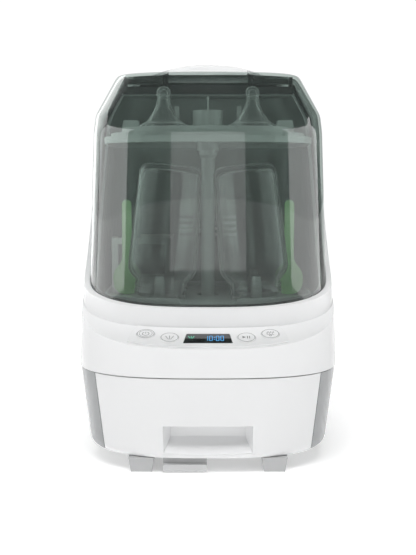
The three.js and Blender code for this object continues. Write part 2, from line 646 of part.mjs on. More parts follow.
// ---------------------------------------------------------------- control panel
function controlPanel() {
  const inner = loft([deckFrontZ - 20, rimFrontZ + 30], () => inset(bodySection(deckFrontZ), 2.2));
  const behind = loft([deckFrontZ - 30, rimFrontZ + 40], () => inset(bandSection(rimFrontZ), -1.6));
  const halfLength = displayWidth / 2 + 55;
  const corner = 13;
  const ends = new THREE.Shape();
  ends.moveTo(-halfLength, corner);
  ends.quadraticCurveTo(-halfLength, -6, -halfLength + corner, -8);
  ends.lineTo(halfLength - corner, -8);
  ends.quadraticCurveTo(halfLength, -6, halfLength, corner);
  ends.quadraticCurveTo(halfLength - 4, 50, halfLength - 22, 60);
  ends.lineTo(-halfLength + 22, 60);
  ends.quadraticCurveTo(-halfLength + 4, 50, -halfLength, corner);
  const limits = onDeck(solid(extrude(ends, 30).translate(0, 0, -12)), 0, 0, 0);
  const sheet = underDeck(1.5).subtract(underDeck(gap / 2));
  const holes = Object.values(buttonPlaces).map(([x, u]) => {
    return onDeck(cylinder("z", buttonRadius + gap, -8, 8, 0, 0, 20), x, u, 0);
  });
  const window = onDeck(displayShape(gap, -8, 8), 0, displayU, 0);
  return cut(sheet.intersect(cut(inner, behind)).intersect(limits), window, ...holes);
}
piece("control_panel", controlPanel(), white, base);
piece("display_window", onDeck(displayShape(0, gap, 1.6), 0, displayU, 0), black, base);
piece("button_board", onDeck(box(-71, 71, 10, 36, -9.5, -7.9), 0, 0, 0), circuit, base);
for (const [name, [x, u]] of Object.entries(buttonPlaces)) {
  const [y, z] = deckPoint(u, 0);
  const cap = turned([[0, -5], [buttonRadius - 1, -5], [buttonRadius, -4], [buttonRadius, 1.6], [buttonRadius - 0.8, 2.2],
    [0, 2.2]], 20);
  const button = piece(name, cap, white, group(name));
  button.position.set(x, y, z);
  button.rotation.x = deckAngle;
}

// ---------------------------------------------------------------- lid and its hinge
function lidCover() {
  const cover = cut(lidShape, shrunkLid(lidWall)).intersect(lidSide(0.8));
  const arms = sides.map((side) => {
    const x = side * hingeMiddle;
    const half = hingeBarrelLength / 2;
    const barrel = cylinder("x", hingeBarrelRadius, x - half, x + half, hingeY, hingeZ, 20);
    const arm = box(x - half, x + half, lidEndY - 16, hingeY, lidTopZ - 4, lidTopZ - 0.4);
    return cut(join(barrel, arm), cylinder("x", hingePinRadius + 0.3, x - half - 5, x + half + 5, hingeY, hingeZ, 16));
  });
  return join(cover, ...arms);
}
piece("lid_cover", lidCover(), smoke, lid);

function hingeBracket(side) {
  const x = side * hingeMiddle;
  const reach = hingeReach - gap;
  const ear = (x0, x1) => prismX([[hingeY - 5, hingeZ - 2], [hingeY - 3, hingeZ + 5], [hingeY + 3, hingeZ + 5],
    [hingeY + 8, hingeZ - 6], [hingeY + 19, linerTopZ + 2], [hingeY + 19, linerTopZ + gap],
    [hingeY - 5, linerTopZ + gap]], x0, x1);
  const foot = box(x - reach, x + reach, hingeY + 7.5, hingeY + 19, linerTopZ + gap, linerTopZ + 3);
  const pinHole = cylinder("x", hingePinRadius + 0.3, x - 60, x + 60, hingeY, hingeZ, 16);
  return cut(join(foot, ear(x - reach, x - reach + 4), ear(x + reach - 4, x + reach)), pinHole);
}
for (const [name, side] of [["left", -1], ["right", 1]]) {
  piece("hinge_bracket_" + name, hingeBracket(side), darkPlastic, base);
  piece("hinge_pin_" + name, cylinder("x", hingePinRadius, side * hingeMiddle - hingeReach + 0.6,
    side * hingeMiddle + hingeReach - 0.6, hingeY, hingeZ, 16), steel, base);
}

// ---------------------------------------------------------------- racks and what stands in them
const rackHalf = bodyHalf - 23.5;
const rackSection = (grow) => () => ({
  half: rackHalf + grow,
  front: bandFront + lidInset + lidWall + 9 - grow,
  middle: columnY - 10,
  back: chamberBack - 9 + grow,
});
function lowerRackBody() {
  const floor = loft([rackFloorZ - 2.4, rackFloorZ], rackSection(-1));
  const rim = cut(loft([rackFloorZ - 3.4, rackFloorZ + 5.6], rackSection(0)),
    loft([rackFloorZ - 9, rackFloorZ + 12], rackSection(-2.2)));
  const notch = prismY([[-33, rackFloorZ + 9], [-26, rackFloorZ - 1.5], [26, rackFloorZ - 1.5],
    [33, rackFloorZ + 9]], bandFront - 20, bandFront + 40);
  const legs = [[-70, -70], [70, -70], [-70, 40], [70, 40]].map(([x, y]) => {
    return box(x - 4, x + 4, y - 4, y + 4, tubFloorZ + linerWall + gap, rackFloorZ - 1);
  });
  const mouths = stationPlaces.map(({ x, y }) => cylinder("z", bottleMouthRadius - 5, 0, 300, x, y, 24));
  const centre = cylinder("z", columnRadius + 5, 0, 300, 0, columnY, 20);
  return cut(join(floor, cut(rim, notch), ...legs), ...mouths, centre);
}
piece("lower_rack", lowerRackBody(), rackPlastic, lowerRack);

function partsBasket() {
  const [x0, x1] = [-rackHalf + 5, -rackHalf + 71];
  const [y0, y1] = [basketFront, chamberBack - 16];
  const [z0, z1] = [rackFloorZ + gap, rackFloorZ + 62];
  const tub = cut(box(x0, x1, y0, y1, z0, z1), box(x0 + 2, x1 - 2, y0 + 2, y1 - 2, z0 + 2, z1 + 5));
  const frontWindow = box(x0 + 7, x1 - 7, y0 - 5, y0 + 5, z0 + 14, z1 - 7);
  const backWindow = box(x0 + 7, x1 - 7, y1 - 5, y1 + 5, z0 + 14, z1 - 7);
  const corner = rackSection(-4)();
  return cut(tub, frontWindow, backWindow).intersect(loft([0, 400], () => corner));
}
piece("parts_basket", partsBasket(), rackPlastic, lowerRack);

// A wide-neck bottle standing on its mouth: mouth at z = 0, base at the top.
function bottle() {
  const [h, r, b, m, w] = [bottleHeight, bottleRadius, bottleBaseRadius, bottleMouthRadius, bottleWall];
  const outside = [[m, 0], [m, 3], [m + 1.2, 4], [m, 6], [m, 9], [m + 1.2, 10], [m, 12], [m, 15], [r - 3, 22],
    [r, 31], [r - 0.5, 50], [b, h - 6], [b - 2, h - 1.5], [b - 6, h]];
  const inside = [[m - w, 0], [m - w, 15], [r - w - 3, 23], [r - w, 32], [b - w, h - 12], [b - 8, h - 6.5]];
  return turned([[0, h], ...outside.reverse(), ...inside, [0, h - 5]], 24);
}
// A teat standing on its flange.
function teat() {
  const [h, r] = [teatHeight, teatRadius];
  const outside = [[r, 0], [r, 3], [r - 2, 4.4], [r - 4, 5], [13, 15], [8.6, 24], [7, 31], [7.6, 36], [6.4, 41.6],
    [3, h]];
  const inside = [[0, h - 2.4], [3.4, h - 4], [4.6, 36], [4.2, 31], [6, 23], [10.6, 14], [r - 6, 2.6], [r - 6, 0]];
  return turned([[0, h], ...outside.reverse(), ...inside.reverse()], 20);
}
function spoon() {
  const [bowl, grip] = [spoonBowlWidth / 2, spoonHandleWidth / 2];
  const shape = new THREE.Shape();
  shape.moveTo(0, 0);
  shape.bezierCurveTo(bowl * 0.9, 0, bowl, 9, bowl, 18);
  shape.bezierCurveTo(bowl, 30, grip, 32, grip, 42);
  shape.lineTo(grip, spoonLength - grip);
  shape.absarc(0, spoonLength - grip, grip, 0, Math.PI);
  shape.lineTo(-grip, 42);
  shape.bezierCurveTo(-grip, 32, -bowl, 30, -bowl, 18);
  shape.bezierCurveTo(-bowl, 9, -bowl * 0.9, 0, 0, 0);
  return solid(extrude(shape, spoonThickness).rotateX(Math.PI / 2).translate(0, spoonThickness / 2, 0));
}
const trayTopZ = trayZ + 1;
for (const [name, side] of [["left", -1], ["right", 1]]) {
  const standing = piece("bottle_" + name, bottle(), glass, lowerRack);
  standing.position.set(side * bottleMouthX, bottleY, mouthZ);
  standing.rotation.y = -side * THREE.MathUtils.degToRad(bottleTilt);
  piece("teat_" + name, teat(), silicone, topRack).position.set(side * teatSpacing / 2, columnY - 14, trayTopZ + gap);
  piece("spoon_" + name, spoon(), green, lowerRack).position.set(side * spoonX, spoonY, rackFloorZ + gap);
}

function topRackBody() {
  const section = (half, reachFront, reachBack) => () => ({
    half, front: columnY - reachFront, middle: columnY - 6, back: columnY + reachBack,
  });
  const front = columnY - (bandFront + lidInset + lidWall + 13);
  const back = chamberBack - 10 - columnY;
  const rim = loft([trayZ - 16, trayZ - 9], section(rackHalf - 1, front, back));
  const step = loft([trayZ - 10, trayZ - 5], section(rackHalf - 8, front - 5, back - 5));
  const floor = loft([trayZ - 6, trayTopZ], section(rackHalf - 20, front - 12, back - 12));
  const hollow = join(
    loft([trayZ - 30, trayZ - 11], section(rackHalf - 4, front - 3, back - 3)),
    loft([trayZ - 12, trayZ - 7.4], section(rackHalf - 11, front - 8, back - 8)),
    loft([trayZ - 8, trayTopZ - 2.4], section(rackHalf - 23, front - 15, back - 15)),
  );
  const lug = [[-38, -6], [-38, 0], [-36, 10], [-20, 10], [-17, -6]];
  const lugs = sides.map((side) => {
    const points = lug.map(([x, z]) => [side * (rackHalf + x), trayTopZ + z]);
    return prismY(points, columnY + 1, columnY + 24);
  });
  const posts = sides.map((side) => box(side * 35 - 2.5, side * 35 + 2.5, columnY + 36, columnY + 40, trayTopZ - 1,
    trayTopZ + 28));
  const hub = cylinder("z", 16.5, trayTopZ - 1, trayTopZ + 20, 0, columnY, 28);
  const pin = cylinder("z", 1.1, trayTopZ + 19, trayTopZ + 35, 0, columnY, 10);
  const socket = cylinder("z", 12.5, columnTop - 6, trayTopZ, 0, columnY, 24);
  const bore = cylinder("z", 10.6, columnTop - 20, columnTop + gap, 0, columnY, 24);
  return cut(join(cut(join(rim, step, floor), hollow), ...lugs, ...posts, hub, pin, socket), bore);
}
piece("top_rack", topRackBody(), rackPlastic, topRack);

// ---------------------------------------------------------------- wet side under the chamber
const pumpZ = chassisTop + gap;
const heaterReach = Math.min(58, Math.hypot(bottleMouthX, bottleY - columnY) - nozzleRadius - gap);
piece("steam_heater", turned([[27, tubFloorZ - 9], [heaterReach, tubFloorZ - 9], [heaterReach, tubFloorZ - gap],
  [27, tubFloorZ - gap]], 32),
  steel, base).position.set(0, columnY, 0);
const pumpTop = tubFloorZ - 14;
piece("circulation_pump", cut(cylinder("z", 25, pumpZ, pumpTop, 0, 0, 28), cylinder("z", 20, pumpTop - 12, pumpTop - 2.4, 0, 0),
  cylinder("z", 8.2, pumpTop - 10, pumpTop + 5, 0, 0)).add(cylinder("z", shaftRadius, pumpTop - 14, pumpTop - 5, 0, 0, 12)),
darkPlastic, base).position.set(0, columnY, 0);
const impeller = group("pump_impeller");
function impellerBody() {
  const plate = cylinder("z", 18, 0, 1.8, 0, 0);
  const vanes = [0, 1, 2, 3, 4].map((i) => {
    const vane = box(4, 16.5, -0.8, 0.8, 1, 6.2);
    return solid(geometryOf(vane).rotateZ((i / 5) * Math.PI * 2));
  });
  const wheel = join(plate, cylinder("z", 5, 0, 7, 0, 0, 16), ...vanes);
  return cut(wheel, cylinder("z", shaftRadius + shaftClearance, -5, 20, 0, 0, 12));
}
piece("pump_impeller", impellerBody(), rackPlastic, impeller).position.set(0, columnY, pumpTop - 11);
const drainPumpX = bodyHalf - 55;
piece("drain_pump", join(cylinder("x", 13, drainPumpX - 24, drainPumpX + 20, columnY + 70, pumpZ + 14),
  cylinder("z", 5, pumpZ + 14, pumpZ + 34, drainPumpX - 10, columnY + 70, 16)), darkPlastic, base);
piece("drain_hose", hose([[26, columnY + 14, pumpZ + 20], [34, columnY + 44, pumpZ + 18],
  [drainPumpX - 38, columnY + 69, pumpZ + 14], [drainPumpX - 25, columnY + 70, pumpZ + 14]], 4.5), silicone, base);
piece("supply_hose", hose([[-40, drawerBackY + 14, footHeight + 30], [-40, drawerBackY + 22, footHeight + 50],
  [-40, drawerBackY + 22, footHeight + 68]], 4.5), silicone, base);

// ---------------------------------------------------------------- dryer and electronics in the rear bay
const bayFront = chamberBack + gap;
const fanZ = rimFrontZ + 152;
const fanRadius = 41;
const fanY = bayFront + 22;
function fanHousing() {
  const drum = cylinder("y", fanRadius, fanY, fanY + 26, 0, fanZ, 32);
  const throat = box(-fanRadius, -4, fanY, fanY + 26, fanZ - fanRadius - 24, fanZ);
  const room = cylinder("y", fanRadius - 2, fanY + 2, fanY + 24, 0, fanZ, 32);
  const inlet = cylinder("y", 22, fanY + 20, fanY + 40, 0, fanZ, 24);
  const shaft = cylinder("y", 4, fanY - 5, fanY + 6, 0, fanZ, 12);
  const outlet = box(-fanRadius + 2, -6, fanY + 2, fanY + 24, fanZ - fanRadius - 30, fanZ - 12);
  return cut(join(drum, throat), room, inlet, shaft, outlet);
}
piece("blower_housing", fanHousing(), darkPlastic, base);
const fan = group("blower_wheel");
function fanWheel() {
  const disc = cylinder("y", 33, 0, 1.6, 0, 0, 24);
  const hub = cylinder("y", 6, 0, 12, 0, 0, 16);
  const blades = Array.from({ length: 12 }, (_, i) => {
    return solid(geometryOf(box(24, 32.4, 1, 17, -0.7, 0.7)).rotateY((i / 12) * Math.PI * 2));
  });
  return cut(join(disc, hub, ...blades), cylinder("y", shaftRadius + shaftClearance, -5, 20, 0, 0, 12));
}
piece("blower_wheel", fanWheel(), rackPlastic, fan).position.set(0, fanY + 3.2, fanZ);
piece("blower_motor", join(cylinder("y", 17, bayFront + 3, fanY - gap, 0, fanZ), cylinder("y", shaftRadius, fanY - 1, fanY + 13, 0, fanZ, 12)),
  steel, base);
const ductTop = fanZ - fanRadius - 24 - gap;
function airDuct() {
  const outside = box(-38, 4, bayFront, fanY + 26, ventZ - 8, ductTop);
  const inside = box(-36, 2, bayFront - 5, fanY + 24, ventZ - 6, ductTop - 14);
  const neck = box(-fanRadius + 5, -6, fanY + 2, fanY + 24, ductTop - 20, ductTop + 5);
  return cut(outside, inside, neck);
}
piece("air_duct", airDuct(), darkPlastic, base);
piece("air_heater", box(-33, -1, fanY + 3, fanY + 20, ventZ + 2, ductTop - 18), steel, base);
const filterY = bodyBack - 22;
piece("air_filter", box(-filterHalf + 5, filterHalf - 5, filterY, filterY + 10, filterLowZ + 5, filterHighZ - 5),
  filterPaper, base);
const filterDoor = group("filter_door");
function filterDoorBody() {
  const region = box(-filterHalf, filterHalf, bodyBack - 40, bodyBack + 20, filterLowZ, filterHighZ);
  const slots = [0, 1, 2, 3, 4].map((i) => box(-30, 30, bodyBack - 40, bodyBack + 20, filterLowZ + 20 + i * 11,
    filterLowZ + 25 + i * 11));
  const barrel = cylinder("x", doorBarrel, -filterHalf, filterHalf, doorHinge.y, doorHinge.z, 12);
  return cut(join(shell.intersect(region), barrel), ...slots);
}
piece("filter_door", filterDoorBody(), white, filterDoor);
piece("main_board", box(-90, 20, drawerBackY + 34, drawerBackY + 36, basePlateZ + 8, seamZ - 14), circuit, base);
const inletFace = bodyBack - 5;
piece("power_inlet", cut(box(inletX - inletHalfWidth, inletX + inletHalfWidth, inletFace - 22, inletFace + 1.5,
  inletZ - inletHalfHeight, inletZ + inletHalfHeight), box(inletX - 11.5, inletX + 11.5, inletFace - 16, inletFace + 9,
  inletZ - 7.5, inletZ + 7.5)), darkPlastic, base);

export default sterilizer;
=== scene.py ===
"""Bottle sterilizer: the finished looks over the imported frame. Shapes are drawn in mm and set in metres."""

import math

import bmesh
import bpy
from mathutils import Matrix, Vector


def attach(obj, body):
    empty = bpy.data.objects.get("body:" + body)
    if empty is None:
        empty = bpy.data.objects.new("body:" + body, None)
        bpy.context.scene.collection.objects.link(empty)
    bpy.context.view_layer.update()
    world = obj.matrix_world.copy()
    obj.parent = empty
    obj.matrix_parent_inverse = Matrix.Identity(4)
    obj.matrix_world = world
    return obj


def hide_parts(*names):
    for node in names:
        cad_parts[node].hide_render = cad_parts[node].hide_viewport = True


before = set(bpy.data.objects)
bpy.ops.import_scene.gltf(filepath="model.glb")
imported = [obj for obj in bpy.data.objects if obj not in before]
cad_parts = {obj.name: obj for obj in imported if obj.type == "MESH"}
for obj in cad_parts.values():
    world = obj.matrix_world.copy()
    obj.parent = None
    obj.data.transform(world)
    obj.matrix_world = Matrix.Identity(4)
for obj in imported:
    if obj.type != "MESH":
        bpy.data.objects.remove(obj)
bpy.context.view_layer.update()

# ---------------------------------------------------------------- the sizes the frame was made to
BODY_WIDTH, BODY_DEPTH = 271, 330
HOUSING_WALL, LID_WALL, LINER_WALL = 2.8, 3, 2
GAP = 0.4
FOOT_HEIGHT = 16.3
LOWER_HEIGHT = 80
FRONT_WALL_HEIGHT = 29
DECK_DEPTH = 38
DECK_SLOPE = math.radians(20.7)
RIM_HEIGHT = 20
SIDE_DRAFT = 15
CROWN_RISE = 24.5
BOTTLE_HEIGHT, BOTTLE_RADIUS, BOTTLE_BASE_RADIUS = 139, 36.5, 33.5
BOTTLE_MOUTH_RADIUS, BOTTLE_WALL, BOTTLE_TILT = 27, 2.6, math.radians(5.5)
TEAT_HEIGHT, TEAT_RADIUS, TEAT_SPACING = 44, 26.5, 95
GRIP_WIDTH, GRIP_HEIGHT, GRIP_DEPTH = 88, 28.5, 20
BUTTON_RADIUS = 9
DISPLAY_WIDTH, DISPLAY_LENGTH, DISPLAY_TAPER = 48, 17.5, 3
HINGE_PIN_RADIUS, HINGE_BARREL_RADIUS, HINGE_BARREL_LENGTH = 3, 6, 41

BODY_HALF = BODY_WIDTH / 2
BODY_FRONT, BODY_BACK = -BODY_DEPTH / 2, BODY_DEPTH / 2
SLOPE = math.tan(DECK_SLOPE)
WIDEST_Y = BODY_FRONT + 115
BAND_FRONT = BODY_FRONT + DECK_DEPTH
SEAM_Z = FOOT_HEIGHT + LOWER_HEIGHT
DECK_FRONT_Z = SEAM_Z + FRONT_WALL_HEIGHT
DECK_BACK_Z = DECK_FRONT_Z + DECK_DEPTH * SLOPE
RIM_FRONT_Z = DECK_BACK_Z + RIM_HEIGHT
TUB_FLOOR_Z = RIM_FRONT_Z - 9.4
RACK_FLOOR_Z = RIM_FRONT_Z + 2.6
MOUTH_Z = RACK_FLOOR_Z + 3.6
TRAY_Z = MOUTH_Z + BOTTLE_HEIGHT + 37
TRAY_TOP_Z = TRAY_Z + 1
LID_TOP_Z = TRAY_Z + TEAT_HEIGHT + 11 + LID_WALL
LID_SHOULDER_FRONT_Z = TRAY_Z - 4
LID_SHOULDER_SIDE_Z = LID_TOP_Z - 44
ARCH_Z = LID_SHOULDER_SIDE_Z - 3
LINER_TOP_Z = LID_TOP_Z - 13
CROWN_Z = LID_TOP_Z + CROWN_RISE
CROWN_Y = BODY_BACK - 85
CROWN_FRONT_SWEEP, CROWN_BACK_SWEEP = 60, 138
CHAMBER_BACK = BODY_BACK - 87
LID_INSET, LINER_CLEAR = 3, 2.5
HINGE_Y, HINGE_Z = CHAMBER_BACK - 32, LID_TOP_Z + 1.5
LID_END_Y = HINGE_Y - 6
HINGE_MIDDLE = BODY_HALF * 0.53
HINGE_REACH = HINGE_BARREL_LENGTH / 2 + 5.5
BOTTLE_MOUTH_X = BOTTLE_BASE_RADIUS + 4.5 + BOTTLE_HEIGHT * math.sin(BOTTLE_TILT)
BOTTLE_Y = BAND_FRONT + LID_INSET + LID_WALL + 19 + BOTTLE_RADIUS
REAR_STATION_Y = BOTTLE_Y + 2 * BOTTLE_RADIUS + 12
COLUMN_Y = (BOTTLE_Y + REAR_STATION_Y) / 2
BUTTONS = {
    "power_button": (-61.5, 27),
    "wash_button": (-37.7, 19.8),
    "start_button": (37.7, 19.8),
    "dry_button": (61.5, 27),
}
DISPLAY_U = 18.3

# ---------------------------------------------------------------- camera, floor and light
camera_data = bpy.data.cameras.new("camera")
camera_data.lens = 61.4
camera = bpy.data.objects.new("camera", camera_data)
bpy.context.scene.collection.objects.link(camera)
camera.location = (0.0, -1.065, 0.283)
camera.rotation_euler = (math.radians(90 - 5.6), 0, 0)
bpy.context.scene.camera = camera
bpy.context.scene.view_settings.view_transform = "Standard"


def add_object(name, mesh):
    piece = bpy.data.objects.new(name, mesh)
    bpy.context.scene.collection.objects.link(piece)
    return piece


def area_light(name, place, aim, width, height, power, tint=(1, 1, 1)):
    data = bpy.data.lights.new(name, "AREA")
    data.shape = "RECTANGLE"
    data.size, data.size_y = width, height
    data.energy, data.color = power, tint
    light = bpy.data.objects.new(name, data)
    light.location = place
    light.rotation_euler = (Vector(aim) - Vector(place)).to_track_quat("-Z", "Y").to_euler()
    bpy.context.scene.collection.objects.link(light)
    return light


def studio_world():
    """White behind, grey bands at the front and sides, with a darker gap behind on the right."""
    world = bpy.data.worlds.new("studio")
    bpy.context.scene.world = world
    world.use_nodes = True
    tree = world.node_tree
    tree.nodes.clear()
    link = tree.links.new

    def node(kind, operation=None, **values):
        made = tree.nodes.new(kind)
        if operation:
            made.operation = operation
        for name, value in values.items():
            made.inputs[name.replace("_", " ")].default_value = value
        return made

    def bands(source, stops):
        ramp = node("ShaderNodeValToRGB")
        first, last = ramp.color_ramp.elements
        for stop, (position, value) in ((first, stops[0]), (last, stops[-1])):
            stop.position, stop.color = position, (value, value, value, 1)
        for position, value in stops[1:-1]:
            ramp.color_ramp.elements.new(position).color = (value, value, value, 1)
        link(source, ramp.inputs["Fac"])
        return ramp.outputs["Color"]

    place, parts = node("ShaderNodeTexCoord"), node("ShaderNodeSeparateXYZ")
    back, around = node("ShaderNodeMath", "MULTIPLY"), node("ShaderNodeMath", "ARCTAN2")
    back.inputs[1].default_value = -1
    share = node("ShaderNodeMapRange", From_Min=-math.pi, From_Max=math.pi)
    background, out = node("ShaderNodeBackground", Strength=WORLD_STRENGTH), node("ShaderNodeOutputWorld")
    link(place.outputs["Generated"], parts.inputs[0])
    link(parts.outputs["Y"], back.inputs[0])
    link(parts.outputs["X"], around.inputs[0])
    link(back.outputs[0], around.inputs[1])
    link(around.outputs[0], share.inputs["Value"])
    turn = lambda degrees: 0.5 + degrees / 360
    round_about = bands(share.outputs["Result"], [
        (0, 1), (turn(-136), 1), (turn(-120), 0.18), (turn(-70), 0.18), (turn(-50), 0.3), (turn(50), 0.3),
        (turn(70), 0.18), (turn(120), 0.18), (turn(126), 0.12), (turn(158), 0.12),
        (turn(163), 1), (1, 1)])
    # The grey bands are for the gloss; the backdrop itself is pale all round.
    path = node("ShaderNodeLightPath")
    pale, seen = node("ShaderNodeMath", "MULTIPLY"), node("ShaderNodeMath", "MAXIMUM")
    pale.inputs[1].default_value = BACKDROP_PALE
    link(path.outputs["Is Camera Ray"], pale.inputs[0])
    link(pale.outputs[0], seen.inputs[0])
    link(round_about, seen.inputs[1])
    link(seen.outputs[0], background.inputs["Color"])
    link(background.outputs[0], out.inputs["Surface"])


WORLD_STRENGTH, BACKDROP_PALE = 1.03, 0.75
studio_world()
key_card = area_light("key_card", (0, -0.95, 2.15), (0, 0, 0.2), 1.8, 1.0, 32)
key_card.visible_glossy = False


def reflected_card(name, place, width, height, radiance):
    """A tall white card stood round the machine to be seen in its gloss; it sheds no light of its own."""
    card = area_light(name, place, (0, 0, place[2]), width, height, radiance * math.pi * width * height)
    card.visible_diffuse = False
    card.visible_transmission = False
    card.visible_camera = False


reflected_card("left_card", (-1.95, -0.45, 1.15), 2.5, 2.4, 5.2)
reflected_card("left_back_card", (-1.75, 1.5, 1.15), 1.6, 2.4, 3)
reflected_card("right_card", (1.96, -0.38, 1.15), 2.7, 2.4, 4.8)
reflected_card("front_card", (0, -2.6, 0.6), 1.0, 1.3, 2.4)


# ---------------------------------------------------------------- finishes
def finish_nodes(name):
    material = bpy.data.materials.new(name)
    material.use_nodes = True
    tree = material.node_tree
    shader = tree.nodes["Principled BSDF"]
    return material, tree, shader


def wide_and_fine(tree, coarse, fine):
    """Two noises on the piece's own coordinates: slow variation and small grain."""
    place = tree.nodes.new("ShaderNodeTexCoord")
    mapping = tree.nodes.new("ShaderNodeMapping")
    tree.links.new(place.outputs["Object"], mapping.inputs["Vector"])
    made = []
    for scale, detail in ((coarse, 3), (fine, 2)):
        noise = tree.nodes.new("ShaderNodeTexNoise")
        noise.inputs["Scale"].default_value = scale
        noise.inputs["Detail"].default_value = detail
        tree.links.new(mapping.outputs["Vector"], noise.inputs["Vector"])
        made.append(noise)
    return made


def ramp_between(tree, source, low, high, dark, light):
    ramp = tree.nodes.new("ShaderNodeValToRGB")
    first, last = ramp.color_ramp.elements
    first.position, last.position = low, high
    first.color, last.color = (*dark, 1), (*light, 1)
    tree.links.new(source, ramp.inputs["Fac"])
    return ramp.outputs["Color"]


def moulded(name, tone, roughness, grain=0.05, spread=0.02, coat=0.0, edge=0.5, metallic=0.0, shine=0.5):
    """Moulded plastic, rubber or metal: slow tone change, fine grain in gloss and surface, softened edges."""
    material, tree, shader = finish_nodes(name)
    slow, fine = wide_and_fine(tree, 9, 900)
    darker = tuple(max(c - spread, 0) for c in tone)
    tree.links.new(ramp_between(tree, slow.outputs["Fac"], 0.3, 0.7, darker, tone), shader.inputs["Base Color"])
    gloss = tree.nodes.new("ShaderNodeMapRange")
    gloss.inputs["To Min"].default_value = max(roughness - 0.03, 0.02)
    gloss.inputs["To Max"].default_value = roughness + 0.04
    tree.links.new(slow.outputs["Fac"], gloss.inputs["Value"])
    tree.links.new(gloss.outputs["Result"], shader.inputs["Roughness"])
    bump = tree.nodes.new("ShaderNodeBump")
    bump.inputs["Strength"].default_value = grain
    bump.inputs["Distance"].default_value = 0.0002
    tree.links.new(fine.outputs["Fac"], bump.inputs["Height"])
    if edge:
        bevel = tree.nodes.new("ShaderNodeBevel")
        bevel.samples = 3
        bevel.inputs["Radius"].default_value = edge * 0.001
        tree.links.new(bevel.outputs["Normal"], bump.inputs["Normal"])
    tree.links.new(bump.outputs["Normal"], shader.inputs["Normal"])
    shader.inputs["Metallic"].default_value = metallic
    shader.inputs["Specular IOR Level"].default_value = shine
    shader.inputs["Coat Weight"].default_value = coat
    shader.inputs["Coat Roughness"].default_value = 0.03
    return material


RIM_STEEPNESS = 2.6


def clear(name, tint, roughness=0.02, ior=1.47, haze=0.0, haze_tone=(0.8, 0.8, 0.8), rim=0.0):
    """See-through plastic: tinted light through it, a gloss that grows to the edges, and a little haze.
    With a rim there is more haze at a slant, where the light crosses more of the wall."""
    material, tree, shader = finish_nodes(name)
    slow, _ = wide_and_fine(tree, 7, 500)
    through = tree.nodes.new("ShaderNodeBsdfTransparent")
    tree.links.new(ramp_between(tree, slow.outputs["Fac"], 0.3, 0.7, tuple(c * 0.97 for c in tint), tint),
                   through.inputs["Color"])
    tree.links.new(ramp_between(tree, slow.outputs["Fac"], 0.2, 0.8, tuple(c * 0.95 for c in haze_tone),
                                haze_tone), shader.inputs["Base Color"])
    shader.inputs["Roughness"].default_value = 0.35
    gloss = tree.nodes.new("ShaderNodeMapRange")
    gloss.inputs["To Min"].default_value = roughness
    gloss.inputs["To Max"].default_value = roughness + 0.02
    tree.links.new(slow.outputs["Fac"], gloss.inputs["Value"])
    shine = tree.nodes.new("ShaderNodeBsdfGlossy")
    tree.links.new(gloss.outputs["Result"], shine.inputs["Roughness"])
    fresnel = tree.nodes.new("ShaderNodeFresnel")
    fresnel.inputs["IOR"].default_value = ior
    side = tree.nodes.new("ShaderNodeNewGeometry")
    # The gloss is on outward faces only: light leaves a wall unhindered.
    outward = tree.nodes.new("ShaderNodeMath")
    outward.operation = "SUBTRACT"
    outward.use_clamp = True
    tree.links.new(fresnel.outputs[0], outward.inputs[0])
    tree.links.new(side.outputs["Backfacing"], outward.inputs[1])
    body, both = tree.nodes.new("ShaderNodeMixShader"), tree.nodes.new("ShaderNodeMixShader")
    body.inputs["Fac"].default_value = haze
    if rim:
        slant, steep = tree.nodes.new("ShaderNodeLayerWeight"), tree.nodes.new("ShaderNodeMath")
        slant.inputs["Blend"].default_value = 0.5
        steep.operation = "POWER"
        steep.inputs[1].default_value = RIM_STEEPNESS
        thick = tree.nodes.new("ShaderNodeMapRange")
        thick.inputs["To Min"].default_value = haze
        thick.inputs["To Max"].default_value = rim
        tree.links.new(slant.outputs["Facing"], steep.inputs[0])
        tree.links.new(steep.outputs[0], thick.inputs["Value"])
        tree.links.new(thick.outputs["Result"], body.inputs["Fac"])
    tree.links.new(through.outputs[0], body.inputs[1])
    tree.links.new(shader.outputs[0], body.inputs[2])
    tree.links.new(outward.outputs[0], both.inputs["Fac"])
    tree.links.new(body.outputs[0], both.inputs[1])
    tree.links.new(shine.outputs[0], both.inputs[2])
    tree.links.new(both.outputs[0], tree.nodes["Material Output"].inputs["Surface"])
    return material


def glowing(name, tone, strength):
    material, tree, shader = finish_nodes(name)
    slow, _ = wide_and_fine(tree, 300, 900)
    lit = ramp_between(tree, slow.outputs["Fac"], 0.2, 0.8, tuple(c * 0.85 for c in tone), tone)
    tree.links.new(lit, shader.inputs["Base Color"])
    tree.links.new(lit, shader.inputs["Emission Color"])
    shader.inputs["Emission Strength"].default_value = strength
    return material


GLOSS_WHITE = moulded("gloss_white", (0.85, 0.855, 0.86), 0.18, 0.03, 0.015, coat=0.05, shine=0.2)
PANEL_WHITE = moulded("panel_white", (0.88, 0.885, 0.89), 0.18, 0.04, 0.012, coat=0.2)
SATIN_GREY = moulded("satin_grey", (0.6, 0.61, 0.61), 0.35, 0.08, 0.03)
LINER_GREY = moulded("liner_grey", (0.38, 0.41, 0.4), 0.3, 0.01, 0.03)
TAB_GREY = moulded("tab_grey", (0.62, 0.625, 0.63), 0.25, 0.05, 0.02)
RACK_GREY = moulded("rack_grey", (0.6, 0.625, 0.615), 0.3, 0.02, 0.03)
BASKET_GREY = moulded("basket_grey", (0.88, 0.9, 0.89), 0.3, 0.02, 0.03)
COLUMN_GREY = moulded("column_grey", (0.66, 0.69, 0.68), 0.3, 0.02, 0.02)
# Painted shade: the lower storey's white gloss plastic coloured dark grey, for its sides turned away from the
# light.
SIDE_SHADE_GREY = moulded("side_shade_grey", (0.35, 0.36, 0.365), 0.2, 0.03, 0.015, coat=0.1, shine=0.3)
SMOKED = clear("smoked_acrylic", (0.7, 0.745, 0.727), haze=0.02, haze_tone=(0.5, 0.56, 0.54))
